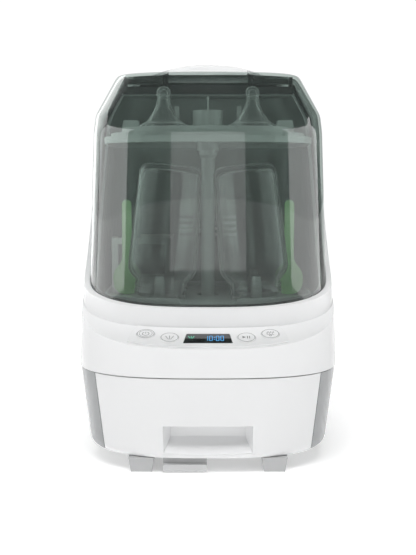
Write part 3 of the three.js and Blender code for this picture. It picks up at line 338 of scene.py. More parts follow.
BOTTLE_CLEAR = clear("bottle_clear", (0.985, 0.99, 0.987), ior=1.5, haze=0.02,
                     haze_tone=(0.95, 0.96, 0.955), rim=0.85)
SILICONE = clear("silicone_clear", (0.93, 0.945, 0.94), roughness=0.06, ior=1.5, haze=0.07,
                 haze_tone=(0.95, 0.96, 0.955), rim=0.9)
SPOON_GREEN = clear("spoon_green", (0.42, 0.85, 0.38), roughness=0.05, haze=0.85, haze_tone=(0.55, 0.95, 0.45))
FOOT_RUBBER = moulded("foot_rubber", (0.52, 0.525, 0.53), 0.6, 0.2, 0.04)
SEAL_RUBBER = moulded("seal_rubber", (0.05, 0.055, 0.055), 0.5, 0.15, 0.02)
BLACK_GLASS = moulded("black_glass", (0.008, 0.008, 0.009), 0.05, 0.01, 0.003, coat=1.0)
STEEL = moulded("brushed_steel", (0.6, 0.6, 0.6), 0.28, 0.12, 0.06, metallic=1.0)
DARK_PLASTIC = moulded("dark_plastic", (0.035, 0.038, 0.04), 0.45, 0.15, 0.012)
CIRCUIT = moulded("circuit_green", (0.03, 0.16, 0.07), 0.4, 0.2, 0.02)
FILTER = moulded("filter_paper", (0.8, 0.79, 0.74), 0.9, 0.4, 0.06)
ICON_GREY = moulded("icon_grey", (0.16, 0.165, 0.17), 0.4, 0.05, 0.02, edge=0)
DIGIT_BLUE = glowing("digit_blue", (0.06, 0.3, 0.62), 0.9)
DOT_GREEN = glowing("icon_green", (0.08, 0.5, 0.32), 0.7)
FLOOR_PALE = moulded("floor_pale", (0.93, 0.93, 0.93), 0.75, 0.02, 0.01, edge=0)
# The floor glows: painted light that keeps it white.
FLOOR_PALE.node_tree.nodes["Principled BSDF"].inputs["Emission Strength"].default_value = 1


def brighten_away(material, near, far, reach):
    """A painted glow that grows with distance from the middle: painted light keeps the floor white, and the
    weaker glow near the machine is painted shade.
    """
    tree = material.node_tree
    place, length = tree.nodes.new("ShaderNodeTexCoord"), tree.nodes.new("ShaderNodeVectorMath")
    length.operation = "LENGTH"
    share = tree.nodes.new("ShaderNodeMapRange")
    share.inputs["From Max"].default_value = reach
    tree.links.new(place.outputs["Object"], length.inputs[0])
    tree.links.new(length.outputs["Value"], share.inputs["Value"])
    glow = ramp_between(tree, share.outputs["Result"], 0.1, 1, (near,) * 3, (far,) * 3)
    tree.links.new(glow, tree.nodes["Principled BSDF"].inputs["Emission Color"])


# Painted shade: the floor's glow is weaker near the machine, deepening its contact shadow.
brighten_away(FLOOR_PALE, 0.32, 0.66, 1.6)

# ---------------------------------------------------------------- solids
RING_POINTS = 144
FRONT_ROUNDNESS, BACK_ROUNDNESS = 2.8, 5


def along(at, pairs):
    """Straight lines between (position, value) pairs."""
    if at <= pairs[0][0]:
        return pairs[0][1]
    for (p0, v0), (p1, v1) in zip(pairs, pairs[1:]):
        if at < p1:
            return v0 + (at - p0) / (p1 - p0) * (v1 - v0)
    return pairs[-1][1]


def eased(at, pairs, radius):
    """The same lines with their corners rounded over that distance either way."""
    return sum(along(at + radius * k / 4, pairs) for k in range(-4, 5)) / 9


def soft_min(a, b):
    return (a**-12 + b**-12) ** (-1 / 12)


def inset(section, d):
    half, front, middle, back = section
    return half - d, front + d, middle, back - d


def lower_section(z):
    rise = z - FOOT_HEIGHT
    tuck = eased(rise, [(-6, 22), (0, 13), (2.5, 10.8), (8, 9.6), (LOWER_HEIGHT, 0.8)], 1.5)
    pull = eased(rise, [(-6, 14), (0, 7.2), (2.5, 5.4), (8, 4.6), (LOWER_HEIGHT, 0.5)], 1.5)
    return BODY_HALF - tuck, BODY_FRONT + pull, WIDEST_Y, BODY_BACK - pull


def side_half(z):
    share = max(0, (z - SEAM_Z - 8) / (LID_SHOULDER_SIDE_Z - SEAM_Z - 8))
    return BODY_HALF - SIDE_DRAFT * share**1.2


def back_at(z):
    return BODY_BACK - 5 * max(0, z - SEAM_Z) / (CROWN_Z - SEAM_Z)


def body_section(z):
    return side_half(z), BODY_FRONT, WIDEST_Y, back_at(z)


def band_section(z):
    drop = max(CROWN_Z - z, 0.05)
    front_arc, back_arc = math.sqrt(CROWN_FRONT_SWEEP * drop), math.sqrt(CROWN_BACK_SWEEP * drop)
    rise = max(0, z - ARCH_Z) / (CROWN_Z - ARCH_Z)
    front = [(ARCH_Z, BAND_FRONT), (LID_TOP_Z - 16, CROWN_Y - 80),
             (LID_TOP_Z, CROWN_Y - math.sqrt(CROWN_FRONT_SWEEP * CROWN_RISE))]
    middle = [(ARCH_Z, WIDEST_Y), (LID_TOP_Z - 16, CROWN_Y - 40), (LID_TOP_Z, CROWN_Y)]
    return (
        side_half(z) * math.sqrt(max(1 - rise * rise, 0.001)),
        along(z, front) if z < LID_TOP_Z else CROWN_Y - front_arc,
        along(z, middle),
        CROWN_Y + soft_min(back_at(z) - CROWN_Y, back_arc),
    )


def lid_section(z):
    low = RIM_FRONT_Z - 10
    half = [(low, BODY_HALF - 8), (RIM_FRONT_Z + 34, BODY_HALF - 10), (LID_SHOULDER_SIDE_Z, BODY_HALF - 16.3),
            (LID_TOP_Z - 4, BODY_HALF - 34.5), (LID_TOP_Z - 1, BODY_HALF - 37), (LID_TOP_Z, BODY_HALF - 40.5)]
    front = [(low, BAND_FRONT + LID_INSET), (LID_SHOULDER_FRONT_Z, BAND_FRONT + LID_INSET + 1),
             (LID_TOP_Z - 4, BAND_FRONT + 54), (LID_TOP_Z - 1, BAND_FRONT + 57), (LID_TOP_Z, BAND_FRONT + 61)]
    middle = [(LID_SHOULDER_FRONT_Z, WIDEST_Y), (LID_TOP_Z - 4, WIDEST_Y + 40)]
    ease = min(4, max(0.3, (LID_TOP_Z - z) / 2))
    return eased(z, half, ease), eased(z, front, ease), eased(z, middle, ease), CHAMBER_BACK + 14


def steps(low, high, size):
    count = max(1, round((high - low) / size))
    return [low + (high - low) * k / count for k in range(count + 1)]


def lofted(name, levels, section_at, points=RING_POINTS):
    """A closed solid: one ring drawn up through the levels and set to the outline at each."""
    shape = bmesh.new()
    bmesh.ops.create_circle(shape, segments=points, radius=1, cap_ends=True)
    turn = shape.verts.layers.float.new("turn")
    for v in shape.verts:
        v[turn] = math.atan2(v.co.y, v.co.x)

    def settle(verts, z):
        half, front, middle, back = section_at(z)
        for v in verts:
            c, s = math.cos(v[turn]), math.sin(v[turn])
            power = 2 / (FRONT_ROUNDNESS if s < 0 else BACK_ROUNDNESS)
            reach = middle - front if s < 0 else back - middle
            x = half * math.copysign(abs(c) ** power, c)
            v.co = (x, middle + reach * math.copysign(abs(s) ** power, s), z)

    settle(shape.verts, levels[0])
    face = list(shape.faces)[0]
    for z in levels[1:]:
        made = bmesh.ops.extrude_face_region(shape, geom=[face])
        verts = [g for g in made["geom"] if isinstance(g, bmesh.types.BMVert)]
        if z != levels[1]:
            bmesh.ops.delete(shape, geom=[face], context="FACES_ONLY")
        settle(verts, z)
        face = next(g for g in made["geom"] if isinstance(g, bmesh.types.BMFace))
    bmesh.ops.recalc_face_normals(shape, faces=shape.faces)
    return solid(name, shape)


def solid(name, shape):
    bmesh.ops.remove_doubles(shape, verts=shape.verts, dist=1e-4)
    bmesh.ops.recalc_face_normals(shape, faces=shape.faces)
    mesh = bpy.data.meshes.new(name)
    shape.to_mesh(mesh)
    shape.free()
    return add_object(name, mesh)


def box(x0, x1, y0, y1, z0, z1, name="block"):
    shape = bmesh.new()
    bmesh.ops.create_cube(shape, size=1)
    bmesh.ops.scale(shape, vec=(x1 - x0, y1 - y0, z1 - z0), verts=shape.verts)
    bmesh.ops.translate(shape, vec=((x0 + x1) / 2, (y0 + y1) / 2, (z0 + z1) / 2), verts=shape.verts)
    return solid(name, shape)


def cylinder(axis, radius, start, end, u, v, segments=48, name="rod"):
    """Along an axis from start to end, centred at u, v on the other two in order."""
    shape = bmesh.new()
    bmesh.ops.create_cone(shape, cap_ends=True, segments=segments, radius1=radius, radius2=radius,
                          depth=end - start)
    quarter = math.pi / 2
    turn = {"x": Matrix.Rotation(quarter, 4, "Y"), "y": Matrix.Rotation(quarter, 4, "X"),
            "z": Matrix.Identity(4)}
    middle = (start + end) / 2
    place = {"x": (middle, u, v), "y": (u, middle, v), "z": (u, v, middle)}[axis]
    bmesh.ops.transform(shape, matrix=Matrix.Translation(place) @ turn[axis], verts=shape.verts)
    return solid(name, shape)


def prism(axis, outline, start, end, name="plate"):
    """An outline drawn on the other two axes in order, pushed along this one."""
    shape = bmesh.new()
    spots = {
        "x": lambda u, v: (start, u, v),
        "y": lambda u, v: (u, start, v),
        "z": lambda u, v: (u, v, start),
    }[axis]
    face = shape.faces.new([shape.verts.new(spots(u, v)) for u, v in outline])
    made = bmesh.ops.extrude_face_region(shape, geom=[face])
    push = {"x": (end - start, 0, 0), "y": (0, end - start, 0), "z": (0, 0, end - start)}[axis]
    bmesh.ops.translate(shape, vec=push, verts=[g for g in made["geom"] if isinstance(g, bmesh.types.BMVert)])
    return solid(name, shape)


def turned(name, profile, segments=64, place=None):
    """A radius, height profile spun about +Z. It closes on itself or starts and ends on the axis."""
    shape = bmesh.new()
    verts = [shape.verts.new((r, 0, z)) for r, z in profile]
    edges = [shape.edges.new(pair) for pair in zip(verts, verts[1:])]
    if profile[0][0] > 0 and profile[-1][0] > 0:
        edges.append(shape.edges.new((verts[-1], verts[0])))
    bmesh.ops.spin(shape, geom=verts + edges, axis=(0, 0, 1), cent=(0, 0, 0), steps=segments, angle=math.tau,
                   use_merge=True)
    bmesh.ops.remove_doubles(shape, verts=shape.verts, dist=1e-4)
    bmesh.ops.recalc_face_normals(shape, faces=shape.faces)
    if place is not None:
        bmesh.ops.transform(shape, matrix=place, verts=shape.verts)
    return solid(name, shape)


def applied(piece):
    """The piece with its modifiers made part of its mesh."""
    graph = bpy.context.evaluated_depsgraph_get()
    mesh = bpy.data.meshes.new_from_object(piece.evaluated_get(graph))
    piece.modifiers.clear()
    piece.data = mesh
    return piece


def carve(piece, operation, *tools):
    """Joins, cuts or keeps what is common with each tool, and puts the tools away."""
    for tool in tools:
        step = piece.modifiers.new("carve", "BOOLEAN")
        step.operation, step.solver, step.object = operation, "MANIFOLD", tool
    applied(piece)
    for tool in tools:
        bpy.data.objects.remove(tool)
    return piece


def cut(piece, *tools):
    return carve(piece, "DIFFERENCE", *tools)


def join(piece, *tools):
    return carve(piece, "UNION", *tools)


def common(piece, *tools):
    return carve(piece, "INTERSECT", *tools)


def finished(name, piece, material, body, slot, *nodes, smooth=35):
    """Names a piece, sets it in metres, shades its soft faces smooth and hands it to the frame."""
    piece.name = name
    piece.data.name = name
    piece.data.transform(Matrix.Scale(0.001, 4))
    piece.data.materials.clear()
    piece.data.materials.append(material)
    piece.data.polygons.foreach_set("use_smooth", [True] * len(piece.data.polygons))
    piece.data.set_sharp_from_angle(angle=math.radians(smooth))
    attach(piece, body)
    if nodes:
        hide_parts(*nodes)
    return piece


# ---------------------------------------------------------------- the line where the lid meets the housing
ACROSS = (-300, 300)


def parting_line():
    """Side view, y and z: up the sloped rim, round a bend, up the leaning side and over the top."""
    bend_y = WIDEST_Y - 2
    rim = lambda y: RIM_FRONT_Z + (y - BAND_FRONT) * SLOPE
    bend, before = Vector((bend_y, rim(bend_y))), Vector((bend_y - 24, rim(bend_y - 24)))
    top = Vector((LID_END_Y, LID_TOP_Z - 9))
    after = bend + (top - bend).normalized() * 34
    turn = [before * (1 - t) ** 2 + bend * 2 * t * (1 - t) + after * t * t for t in (k / 14 for k in range(15))]
    return [Vector((-400, rim(-400))), *turn, top, Vector((LID_END_Y, CROWN_Z + 60))]


def parting_offset(d):
    """That line moved by d towards the lid."""
    line = parting_line()
    moved = []
    for i, p in enumerate(line):
        run = (line[min(i + 1, len(line) - 1)] - line[max(i - 1, 0)]).normalized()
        moved.append((p.x - run.y * d, p.y + run.x * d))
    return moved


def housing_side(d):
    return prism("x", [*parting_offset(d), (500, CROWN_Z + 60), (500, -100), (-400, -100)], *ACROSS)


def lid_side(d):
    return prism("x", [*parting_offset(d), (-400, CROWN_Z + 60)], *ACROSS)


def between(low, high):
    return cut(housing_side(high), housing_side(low))


def deck_point(u, lift=0):
    return (BODY_FRONT + u * math.cos(DECK_SLOPE) - lift * math.sin(DECK_SLOPE),
            DECK_FRONT_Z + u * math.sin(DECK_SLOPE) + lift * math.cos(DECK_SLOPE))


def under_deck(lift):
    return prism("x", [deck_point(-400, lift), deck_point(400, lift), (500, -100), (-500, -100)], *ACROSS)


def on_deck(piece, x, u, lift=0):
    """A piece drawn flat on x, y is laid on the deck with its +Y up the slope."""
    y, z = deck_point(u, lift)
    piece.data.transform(Matrix.Translation((x, y, z)) @ Matrix.Rotation(DECK_SLOPE, 4, "X"))
    return piece


def display_shape(grow, low, high):
    half, reach = DISPLAY_WIDTH / 2 + grow, DISPLAY_LENGTH / 2 + grow
    rear = half - DISPLAY_TAPER
    return prism("z", [(-half, -reach), (half, -reach), (rear, reach), (-rear, reach)], low, high)


SIDES = (-1, 1)


def hinge_recesses():
    made = []
    for side in SIDES:
        x = side * HINGE_MIDDLE
        made.append(box(x - HINGE_REACH, x + HINGE_REACH, HINGE_Y - 12, HINGE_Y + 22, LINER_TOP_Z + GAP / 2,
                        CROWN_Z + 40))
    return made


# ---------------------------------------------------------------- housing
BAND_LEVELS = (steps(SEAM_Z + GAP, ARCH_Z, 12) + steps(ARCH_Z, LID_TOP_Z, 3)[1:]
               + steps(LID_TOP_Z, CROWN_Z - 6, 2)[1:]
               + [CROWN_Z - d for d in (4.6, 3.4, 2.4, 1.6, 1.0, 0.5, 0.2)])
LID_LEVELS = (steps(RIM_FRONT_Z - 10, LID_SHOULDER_FRONT_Z - 6, 14)
              + steps(LID_SHOULDER_FRONT_Z - 6, LID_TOP_Z - 8, 2)[1:]
              + [LID_TOP_Z - d for d in (7, 6, 5, 4.2, 3.4, 2.6, 2, 1.4, 0.9, 0.5, 0.2, 0)])


def inner_housing(extra):
    levels = [SEAM_Z - 1, *BAND_LEVELS[1:-7], CROWN_Z - 8, CROWN_Z - 5.5, CROWN_Z - 3.4]
    shift = lambda z: z + along(z, [(ARCH_Z, 0), (LID_TOP_Z - 4, HOUSING_WALL)])
    return lofted("inner", levels, lambda z: inset(band_section(shift(z)), HOUSING_WALL + extra))


def lid_plug(d):
    levels = [RIM_FRONT_Z - 14, *LID_LEVELS[1:-4], LID_TOP_Z - d]
    return lofted("plug", levels, lambda z: inset(lid_section(z), d))


def shrunk_lid(d):
    shift = lambda z: z + along(z, [(LID_SHOULDER_SIDE_Z, 0), (LID_TOP_Z - d - 6, d * 0.7), (LID_TOP_Z - d, d)])
    levels = [z for z in LID_LEVELS if z < LID_TOP_Z - d - 1] + [LID_TOP_Z - d]
    return lofted("inside", levels, lambda z: inset(lid_section(shift(z)), d))


SEAL_DEPTH = 2


def housing_shell():
    body = lofted("housing", steps(SEAM_Z + GAP, RIM_FRONT_Z + 30, 8), body_section)
    common(body, under_deck(0))
    band = common(lofted("band", BAND_LEVELS, band_section), housing_side(0))
    join(body, band)
    hollow = lofted("hollow", steps(SEAM_Z - 1, RIM_FRONT_Z + 30, 8),
                    lambda z: inset(body_section(z), HOUSING_WALL))
    cut(body, common(hollow, under_deck(-HOUSING_WALL)))
    cut(body, inner_housing(0))
    rim = common(lofted("rim", BAND_LEVELS, band_section), between(-SEAL_DEPTH, 0))
    join(body, rim)
    cut(body, common(lid_plug(0.2), between(-SEAL_DEPTH - 1, 3)))
    return body


REAR_HALF, REAR_LOW, REAR_HIGH = BODY_HALF * 0.72, SEAM_Z + 16, LID_SHOULDER_SIDE_Z + 12
FILTER_HALF, FILTER_LOW = 44, RIM_FRONT_Z + 118
FILTER_HIGH = FILTER_LOW + 86
DOOR_BARREL = 2.4
LOUVRE_PITCH, LOUVRE_SLOT = 11, 5


def through_back(half, low, high):
    """A block through the rear wall, as wide on both sides of the middle."""
    return box(-half, half, BODY_BACK - 40, BODY_BACK + 20, low, high)


def louvres(half, low, count):
    """Level slots through the rear wall, one over the other."""
    floors = [low + i * LOUVRE_PITCH for i in range(count)]
    return [through_back(half, floor, floor + LOUVRE_SLOT) for floor in floors]


def rear_cutter(grow):
    return through_back(REAR_HALF + grow, REAR_LOW - grow, REAR_HIGH + grow)


def copy_of(piece):
    return add_object("copy", piece.data.copy())


whole_shell = housing_shell()

rear_panel = common(copy_of(whole_shell), rear_cutter(0))
cut(rear_panel, through_back(FILTER_HALF + GAP, FILTER_LOW - DOOR_BARREL - GAP, FILTER_HIGH + GAP),
    *louvres(50, REAR_LOW + 16, 4))
finished("rear_cover", rear_panel, GLOSS_WHITE, "base", "white_gloss", "rear_panel")

filter_door = common(copy_of(whole_shell), through_back(FILTER_HALF, FILTER_LOW, FILTER_HIGH))
join(filter_door, cylinder("x", DOOR_BARREL, -FILTER_HALF, FILTER_HALF, back_at(FILTER_LOW) - HOUSING_WALL / 2,
                           FILTER_LOW, 24))
cut(filter_door, *louvres(30, FILTER_LOW + 20, 5))
finished("filter_cover", filter_door, GLOSS_WHITE, "filter_door", "white_gloss", "filter_door")

holes = [on_deck(cylinder("z", BUTTON_RADIUS + GAP, -8, 4, 0, 0), x, u) for x, u in BUTTONS.values()]
holes.append(on_deck(display_shape(-2, -8, 4), 0, DISPLAY_U))
cut(whole_shell, rear_cutter(GAP), *hinge_recesses(), *holes)
finished("upper_housing", whole_shell, GLOSS_WHITE, "base", "white_gloss", "main_housing")

# ---------------------------------------------------------------- drawer storey
LOWER_LEVELS = [FOOT_HEIGHT + d for d in (0, 0.5, 1, 1.6, 2.4, 3.4, 5, 7, 9.5, 13)] + steps(
    FOOT_HEIGHT + 22, SEAM_Z - GAP, 12)
FACE_LOW, FACE_HIGH = BODY_HALF - 33.5, BODY_HALF - 22


def face_cutter(grow):
    return prism("y", [(-FACE_LOW - grow, 0), (FACE_LOW + grow, 0), (FACE_HIGH + grow, SEAM_Z + 4),
                       (-FACE_HIGH - grow, SEAM_Z + 4)], BODY_FRONT - 40, BODY_FRONT + 54)


def lower_inside():
    levels = [FOOT_HEIGHT - 3, *LOWER_LEVELS, SEAM_Z + 1]
    return lofted("inside", levels, lambda z: inset(lower_section(z), HOUSING_WALL))


INLET_X, INLET_Z = BODY_HALF - 62, FOOT_HEIGHT + 38
lower = lofted("lower", LOWER_LEVELS, lower_section)
cut(lower, lower_inside(), face_cutter(GAP),
    box(INLET_X - 15.4, INLET_X + 15.4, BODY_BACK - 30, BODY_BACK + 20, INLET_Z - 11.4, INLET_Z + 11.4))
# The lower storey's shell wears the painted shade grey instead of its white.
finished("lower_housing_shell", lower, SIDE_SHADE_GREY, "base", "white_gloss", "lower_housing")

POCKET_BACK = BODY_FRONT + GRIP_DEPTH + 7


def drawer_face():
    low = FOOT_HEIGHT - 0.9
    levels = [low, *LOWER_LEVELS[1:-1], SEAM_Z - GAP - 0.2]
    face = common(cut(lofted("face", levels, lower_section), lower_inside()), face_cutter(0))
    backing = box(-GRIP_WIDTH / 2 - 6, GRIP_WIDTH / 2 + 6, BODY_FRONT - 5, POCKET_BACK, FOOT_HEIGHT + 0.6,
                  FOOT_HEIGHT + GRIP_HEIGHT + 6.5)
    join(face, common(backing, lofted("outer", levels, lower_section)))
    floor = FOOT_HEIGHT + 3.4
    top, back = floor + GRIP_HEIGHT, BODY_FRONT + 4 + GRIP_DEPTH
    pocket = prism("x", [(BODY_FRONT - 20, floor), (BODY_FRONT + 5, floor), (back - 2, floor + 11.5),
                         (back, floor + 14), (back, top - 3), (back - 3, top), (BODY_FRONT - 20, top)], *ACROSS)
    sides = prism("z", [(-GRIP_WIDTH / 2 - 4, BODY_FRONT - 20), (GRIP_WIDTH / 2 + 4, BODY_FRONT - 20),
                        (GRIP_WIDTH / 2, BODY_FRONT + 6), (GRIP_WIDTH / 2 - 7, back + 1),
                        (-GRIP_WIDTH / 2 + 7, back + 1), (-GRIP_WIDTH / 2, BODY_FRONT + 6)], 0, 200)
    return cut(face, common(pocket, sides))


finished("drawer_face", drawer_face(), GLOSS_WHITE, "drawer", "white_gloss", "drawer_front")

# ---------------------------------------------------------------- chamber
VENT_Z = RIM_FRONT_Z + 62
LIP_DROP = 2.2
STATIONS = [(-BOTTLE_MOUTH_X, BOTTLE_Y), (BOTTLE_MOUTH_X, BOTTLE_Y), (BOTTLE_MOUTH_X, REAR_STATION_Y)]
NOZZLE_RADIUS = 6


def tub_section(z):
    half, front, middle, _ = inset(lid_section(max(z, RIM_FRONT_Z)), LID_WALL + LINER_CLEAR)
    turn_in = eased(z - TUB_FLOOR_Z, [(0, 9), (3, 2.5), (8, 0)], 0.8)
    return half - turn_in, front + turn_in, middle, CHAMBER_BACK - turn_in


def tub_shell():
    levels = [TUB_FLOOR_Z + d for d in (0, 0.7, 1.5, 2.5, 3.6, 5, 7, 9)]
    levels += steps(TUB_FLOOR_Z + 16, LINER_TOP_Z, 9)
    outside = lofted("tub", levels, tub_section)
    inner = [TUB_FLOOR_Z + LINER_WALL, *levels[2:-1], LINER_TOP_Z - LINER_WALL]

    def hollow():
        return lofted("hollow", inner, lambda z: inset(tub_section(z), LINER_WALL))

    bowl = common(cut(outside, hollow()), housing_side(-LIP_DROP))
    flange = cut(common(inner_housing(GAP), between(-LIP_DROP - LINER_WALL, -LIP_DROP)), hollow())
    join(bowl, flange)
    slots = [box(-34, 34, CHAMBER_BACK - 12, CHAMBER_BACK + 12, VENT_Z + i * 7, VENT_Z + 3.4 + i * 7)
             for i in range(4)]
    wells = [cylinder("z", NOZZLE_RADIUS + GAP, TUB_FLOOR_Z - 5, TUB_FLOOR_Z + 6, x, y) for x, y in STATIONS]
    drain = cylinder("z", 22, TUB_FLOOR_Z - 5, TUB_FLOOR_Z + 6, 0, COLUMN_Y)
    return cut(bowl, *slots, drain, *wells, *hinge_recesses())


finished("chamber_liner", tub_shell(), LINER_GREY, "base", "liner_grey", "tub_liner")

seal_and_gap_shadow = common(cut(lid_plug(0.2 + GAP), shrunk_lid(4)), between(GAP - SEAL_DEPTH, 0.4))
HINGES_HALF = HINGE_MIDDLE + HINGE_REACH
cut(seal_and_gap_shadow, box(-HINGES_HALF, HINGES_HALF, HINGE_Y - 30, HINGE_Y, LINER_TOP_Z + GAP / 2, CROWN_Z))
# Thin dark strips stand in the gap behind the lid's rear edge, the upper one between the hinges: a painted
# shadow for that gap, in the seal's rubber.
STRIP_FRONT, STRIP_BACK = LID_END_Y - 0.65, LID_END_Y - 0.15
join(seal_and_gap_shadow, box(-HINGES_HALF, HINGES_HALF, STRIP_FRONT, STRIP_BACK, LINER_TOP_Z, LID_TOP_Z - 4.6),
     box(HINGE_REACH - HINGE_MIDDLE, HINGE_MIDDLE - HINGE_REACH, STRIP_FRONT, STRIP_BACK,
         LID_TOP_Z - 6, LID_TOP_Z - 0.3))
finished("rim_seal_and_gap_shadow", seal_and_gap_shadow, SEAL_RUBBER, "base", "seal_rubber", "lid_seal")

# ---------------------------------------------------------------- lid
cover = common(cut(lofted("cover", LID_LEVELS, lid_section), shrunk_lid(LID_WALL)), lid_side(0.8))
for side in SIDES:
    x, half = side * HINGE_MIDDLE, HINGE_BARREL_LENGTH / 2
    join(cover, cylinder("x", HINGE_BARREL_RADIUS, x - half, x + half, HINGE_Y, HINGE_Z),
         box(x - half, x + half, LID_END_Y - 16, HINGE_Y, LID_TOP_Z - 4, LID_TOP_Z - 0.4))
    cut(cover, cylinder("x", HINGE_PIN_RADIUS + 0.3, x - half - 5, x + half + 5, HINGE_Y, HINGE_Z))
finished("smoked_lid", cover, SMOKED, "lid", "smoked", "lid_cover")


# ---------------------------------------------------------------- control deck
def gathered(name, *pieces):
    """Several small prints as one piece."""
    shape = bmesh.new()
    for piece in pieces:
        shape.from_mesh(piece.data)
        bpy.data.objects.remove(piece)
    mesh = bpy.data.meshes.new(name)
    shape.to_mesh(mesh)
    shape.free()
    return add_object(name, mesh)


PRINT = 0.12


def stroke(x0, y0, x1, y1, width, low, high):
    """A straight printed line between two points."""
    run = Vector((x1 - x0, y1 - y0))
    piece = box(-run.length / 2 - width / 2, run.length / 2 + width / 2, -width / 2, width / 2, low, high)
    piece.data.transform(Matrix.Translation(((x0 + x1) / 2, (y0 + y1) / 2, 0))
                         @ Matrix.Rotation(math.atan2(run.y, run.x), 4, "Z"))
    return piece


def arc(radius, width, start, sweep, low, high, x=0, y=0, steps=40):
    """A printed arc, from start and round by sweep degrees."""
    shape = bmesh.new()
    inner, outer = radius - width / 2, radius + width / 2
    corners = [(inner, 0, low), (outer, 0, low), (outer, 0, high), (inner, 0, high)]
    face = shape.faces.new([shape.verts.new(corner) for corner in corners])
    bmesh.ops.spin(shape, geom=[face], axis=(0, 0, 1), cent=(0, 0, 0), steps=steps, angle=math.radians(sweep))
    turn = Matrix.Translation((x, y, 0)) @ Matrix.Rotation(math.radians(start), 4, "Z")
    bmesh.ops.transform(shape, matrix=turn, verts=shape.verts)
    return solid("arc", shape)


def wave(x, y, width, low, high):
    """A short rising wave of two opposed bends."""
    return [arc(1.05, width, -80, 160, low, high, x - 0.15, y + 1.05, 14),
            arc(1.05, width, 100, 160, low, high, x + 0.15, y - 1.05, 14)]


CAP_TOP = 2.08
ICONS = {
    "power_button": lambda a, b: [arc(6.4, 0.4, 0, 360, a, b), arc(3.3, 0.6, 118, 304, a, b, 0, -0.4),
                                  stroke(0, 0.2, 0, 3.4, 0.6, a, b)],
    "wash_button": lambda a, b: [stroke(0, -2.6, 0, 2.6, 0.55, a, b), stroke(-2, -2.4, -3.9, 2.2, 0.55, a, b),
                                 stroke(2, -2.4, 3.9, 2.2, 0.55, a, b),
                                 stroke(-1.6, -3.7, 1.6, -3.7, 0.5, a, b)],
    "start_button": lambda a, b: [prism("z", [(-3.9, -2.2), (-0.5, 0), (-3.9, 2.2)], a, b),
                                  stroke(1, -1.9, 1, 1.9, 0.9, a, b), stroke(3, -1.9, 3, 1.9, 0.9, a, b)],
    "dry_button": lambda a, b: [*[bend for x in (-2.6, 0, 2.6) for bend in wave(x, 1.8, 0.5, a, b)],
                                stroke(-3.4, -2.2, 3.4, -2.2, 0.5, a, b),
                                arc(1.1, 0.45, 0, 360, a, b, 0, -4, 20)],
}
for name, (x, u) in BUTTONS.items():
    r = BUTTON_RADIUS
    cap = turned(name + "_cap", [(0, -5), (r - 1, -5), (r, -4), (r, 1.3), (r - 0.2, 1.75), (r - 0.55, 2.02),
                                 (r - 1.0, 2.12), (r - 2, 2.1), (0, CAP_TOP)])
    finished(name + "_cap", on_deck(cap, x, u), PANEL_WHITE, name, "white_gloss", name)
    ring = arc(r - 0.75, 0.42, 0, 360, 2.0, CAP_TOP + PRINT, steps=64)
    marks = [ring, *ICONS[name](CAP_TOP - 0.1, CAP_TOP + PRINT)]
    finished(name + "_print", on_deck(gathered("print", *marks), x, u), ICON_GREY, name, "dark_plastic")

# Seven-segment digits: which of the seven bars are lit, top bar first, clockwise, the middle bar last.
SEGMENTS = {"1": "0110000", "0": "1111110"}
GLASS_TOP = 1.6


def digit(mark, x, y, w, h, width, low, high):
    trim = width * 0.75
    places = [(-w, h, w, h), (w, h, w, 0), (w, 0, w, -h), (-w, -h, w, -h), (-w, 0, -w, -h), (-w, h, -w, 0),
              (-w, 0, w, 0)]
    lit = []
    for on, (x0, y0, x1, y1) in zip(SEGMENTS[mark], places):
        if on == "1":
            dx, dy = (trim, 0) if y0 == y1 else (0, trim if y0 > y1 else -trim)
            lit.append(stroke(x + x0 + dx, y + y0 - dy, x + x1 - dx, y + y1 + dy, width, low, high))
    return lit


low, high = GLASS_TOP, GLASS_TOP + PRINT
time_marks = [bar for mark, x in (("1", -1.6), ("0", 2.9), ("0", 9.4), ("0", 13.9))
              for bar in digit(mark, x, 0, 1.35, 4.4, 0.62, low, high)]
time_marks += [box(5.75, 6.55, y - 0.7, y + 0.7, low, high) for y in (-2, 2)]
spray_marks = [stroke(x0, 0.2, x1, 4.2, 0.55, low, high)
               for x0, x1 in ((-17.6, -19.2), (-16.4, -16.4), (-15.2, -13.6))]
for name, marks, glow in (("digits", time_marks, DIGIT_BLUE), ("symbol", spray_marks, DOT_GREEN)):
    print_on_glass = on_deck(gathered(name, *marks), 0, DISPLAY_U)
    finished("display_" + name, print_on_glass, glow, "base", "black_glass")

# ---------------------------------------------------------------- bottles and teats
def bottle_profile():
    h, r, b, m, w = BOTTLE_HEIGHT, BOTTLE_RADIUS, BOTTLE_BASE_RADIUS, BOTTLE_MOUTH_RADIUS, BOTTLE_WALL
    outside = [(m, 0), (m, 3), (m + 1.2, 4), (m, 6), (m, 9), (m + 1.2, 10), (m, 12), (m, 15), (m + 2.5, 17.6),
               (r - 3, 22), (r - 0.9, 26.5), (r, 31), (r - 0.5, 50), (b + 0.2, h - 13), (b - 0.3, h - 9),
               (b - 1.5, h - 5.8), (b - 3.5, h - 3), (b - 6, h - 1.2), (b - 9, h - 0.3), (b - 12, h)]
    inside = [(m - w, 0), (m - w, 15), (m - w + 2.5, 18.5), (r - w - 3, 23), (r - w - 0.8, 27.5), (r - w, 32),
              (b - w, h - 14), (b - w - 1, h - 10.5), (b - w - 3, h - 8), (b - w - 6, h - 6.8),
              (b - 12, h - 6.4)]
    return [(0, h), *reversed(outside), *inside, (0, h - 5)]


def teat_profile():
    h, r = TEAT_HEIGHT, TEAT_RADIUS
    outside = [(r, 0), (r, 2.6), (r - 0.5, 3.2), (r - 2, 4.2), (r - 4, 5), (18, 8), (13, 15), (10.4, 19.5),
               (8.6, 24), (7.4, 28), (7, 31), (7.2, 33.5), (7.6, 36), (7.5, 39), (6.4, 41.6), (5, 43.1), (3, h)]
    inside = [(0, h - 2.4), (3.4, h - 4), (4.6, 36), (4.2, 31), (6, 23), (10.6, 14), (r - 6, 2.6), (r - 6, 0)]
    return [(0, h), *reversed(outside), *reversed(inside)]


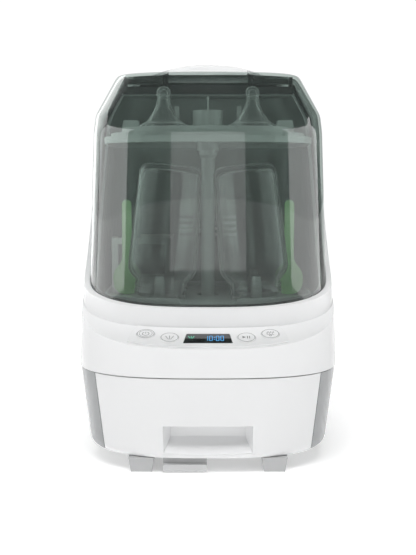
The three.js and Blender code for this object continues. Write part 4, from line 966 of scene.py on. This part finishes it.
for name, side in (("left", -1), ("right", 1)):
    stand = Matrix.Translation((side * BOTTLE_MOUTH_X, BOTTLE_Y, MOUTH_Z))
    tilt = stand @ Matrix.Rotation(-side * BOTTLE_TILT, 4, "Y")
    finished("feeding_bottle_" + name, turned("bottle", bottle_profile(), 96, tilt), BOTTLE_CLEAR, "lower_rack",
             "bottle_clear", "bottle_" + name, smooth=50)
    spot = Matrix.Translation((side * TEAT_SPACING / 2, COLUMN_Y - 14, TRAY_TOP_Z + GAP))
    finished("silicone_teat_" + name, turned("teat", teat_profile(), 64, spot), SILICONE, "top_rack",
             "silicone_clear", "teat_" + name, smooth=50)

# ---------------------------------------------------------------- finishes on the frame's own pieces
NODE_FINISH = {
    TAB_GREY: ["drip_tray"],
    PANEL_WHITE: ["control_panel"],
    SATIN_GREY: ["base_plate", "chassis_plate", "drawer_tray", "waste_tank_lid", "clean_tank_lid"],
    COLUMN_GREY: ["feed_column", "nozzle_front_left", "nozzle_front_right", "nozzle_rear_right"],
    BASKET_GREY: ["parts_basket"],
    RACK_GREY: ["top_rack", "lower_rack", "blower_wheel", "pump_impeller"],
    SMOKED: ["waste_tank", "clean_tank"],
    SILICONE: ["drain_hose", "supply_hose"],
    SPOON_GREEN: ["spoon_left", "spoon_right"],
    FOOT_RUBBER: ["foot_front_left", "foot_front_right", "foot_rear_left", "foot_rear_right"],
    BLACK_GLASS: ["display_window"],
    STEEL: ["sump_strainer", "hinge_pin_left", "hinge_pin_right", "steam_heater", "blower_motor", "air_heater"],
    CIRCUIT: ["button_board", "main_board"],
    DARK_PLASTIC: ["hinge_bracket_left", "hinge_bracket_right", "circulation_pump", "drain_pump",
                   "blower_housing", "air_duct", "power_inlet"],
    FILTER: ["air_filter"],
}
for material, names in NODE_FINISH.items():
    for name in names:
        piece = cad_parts[name]
        if not piece.material_slots:
            piece.data.materials.append(material)
        for held in piece.material_slots:
            held.material = material

floor = box(-60000, 60000, -60000, 60000, -10, 0, "floor")
floor.data.transform(Matrix.Scale(0.001, 4))
floor.data.materials.append(FLOOR_PALE)
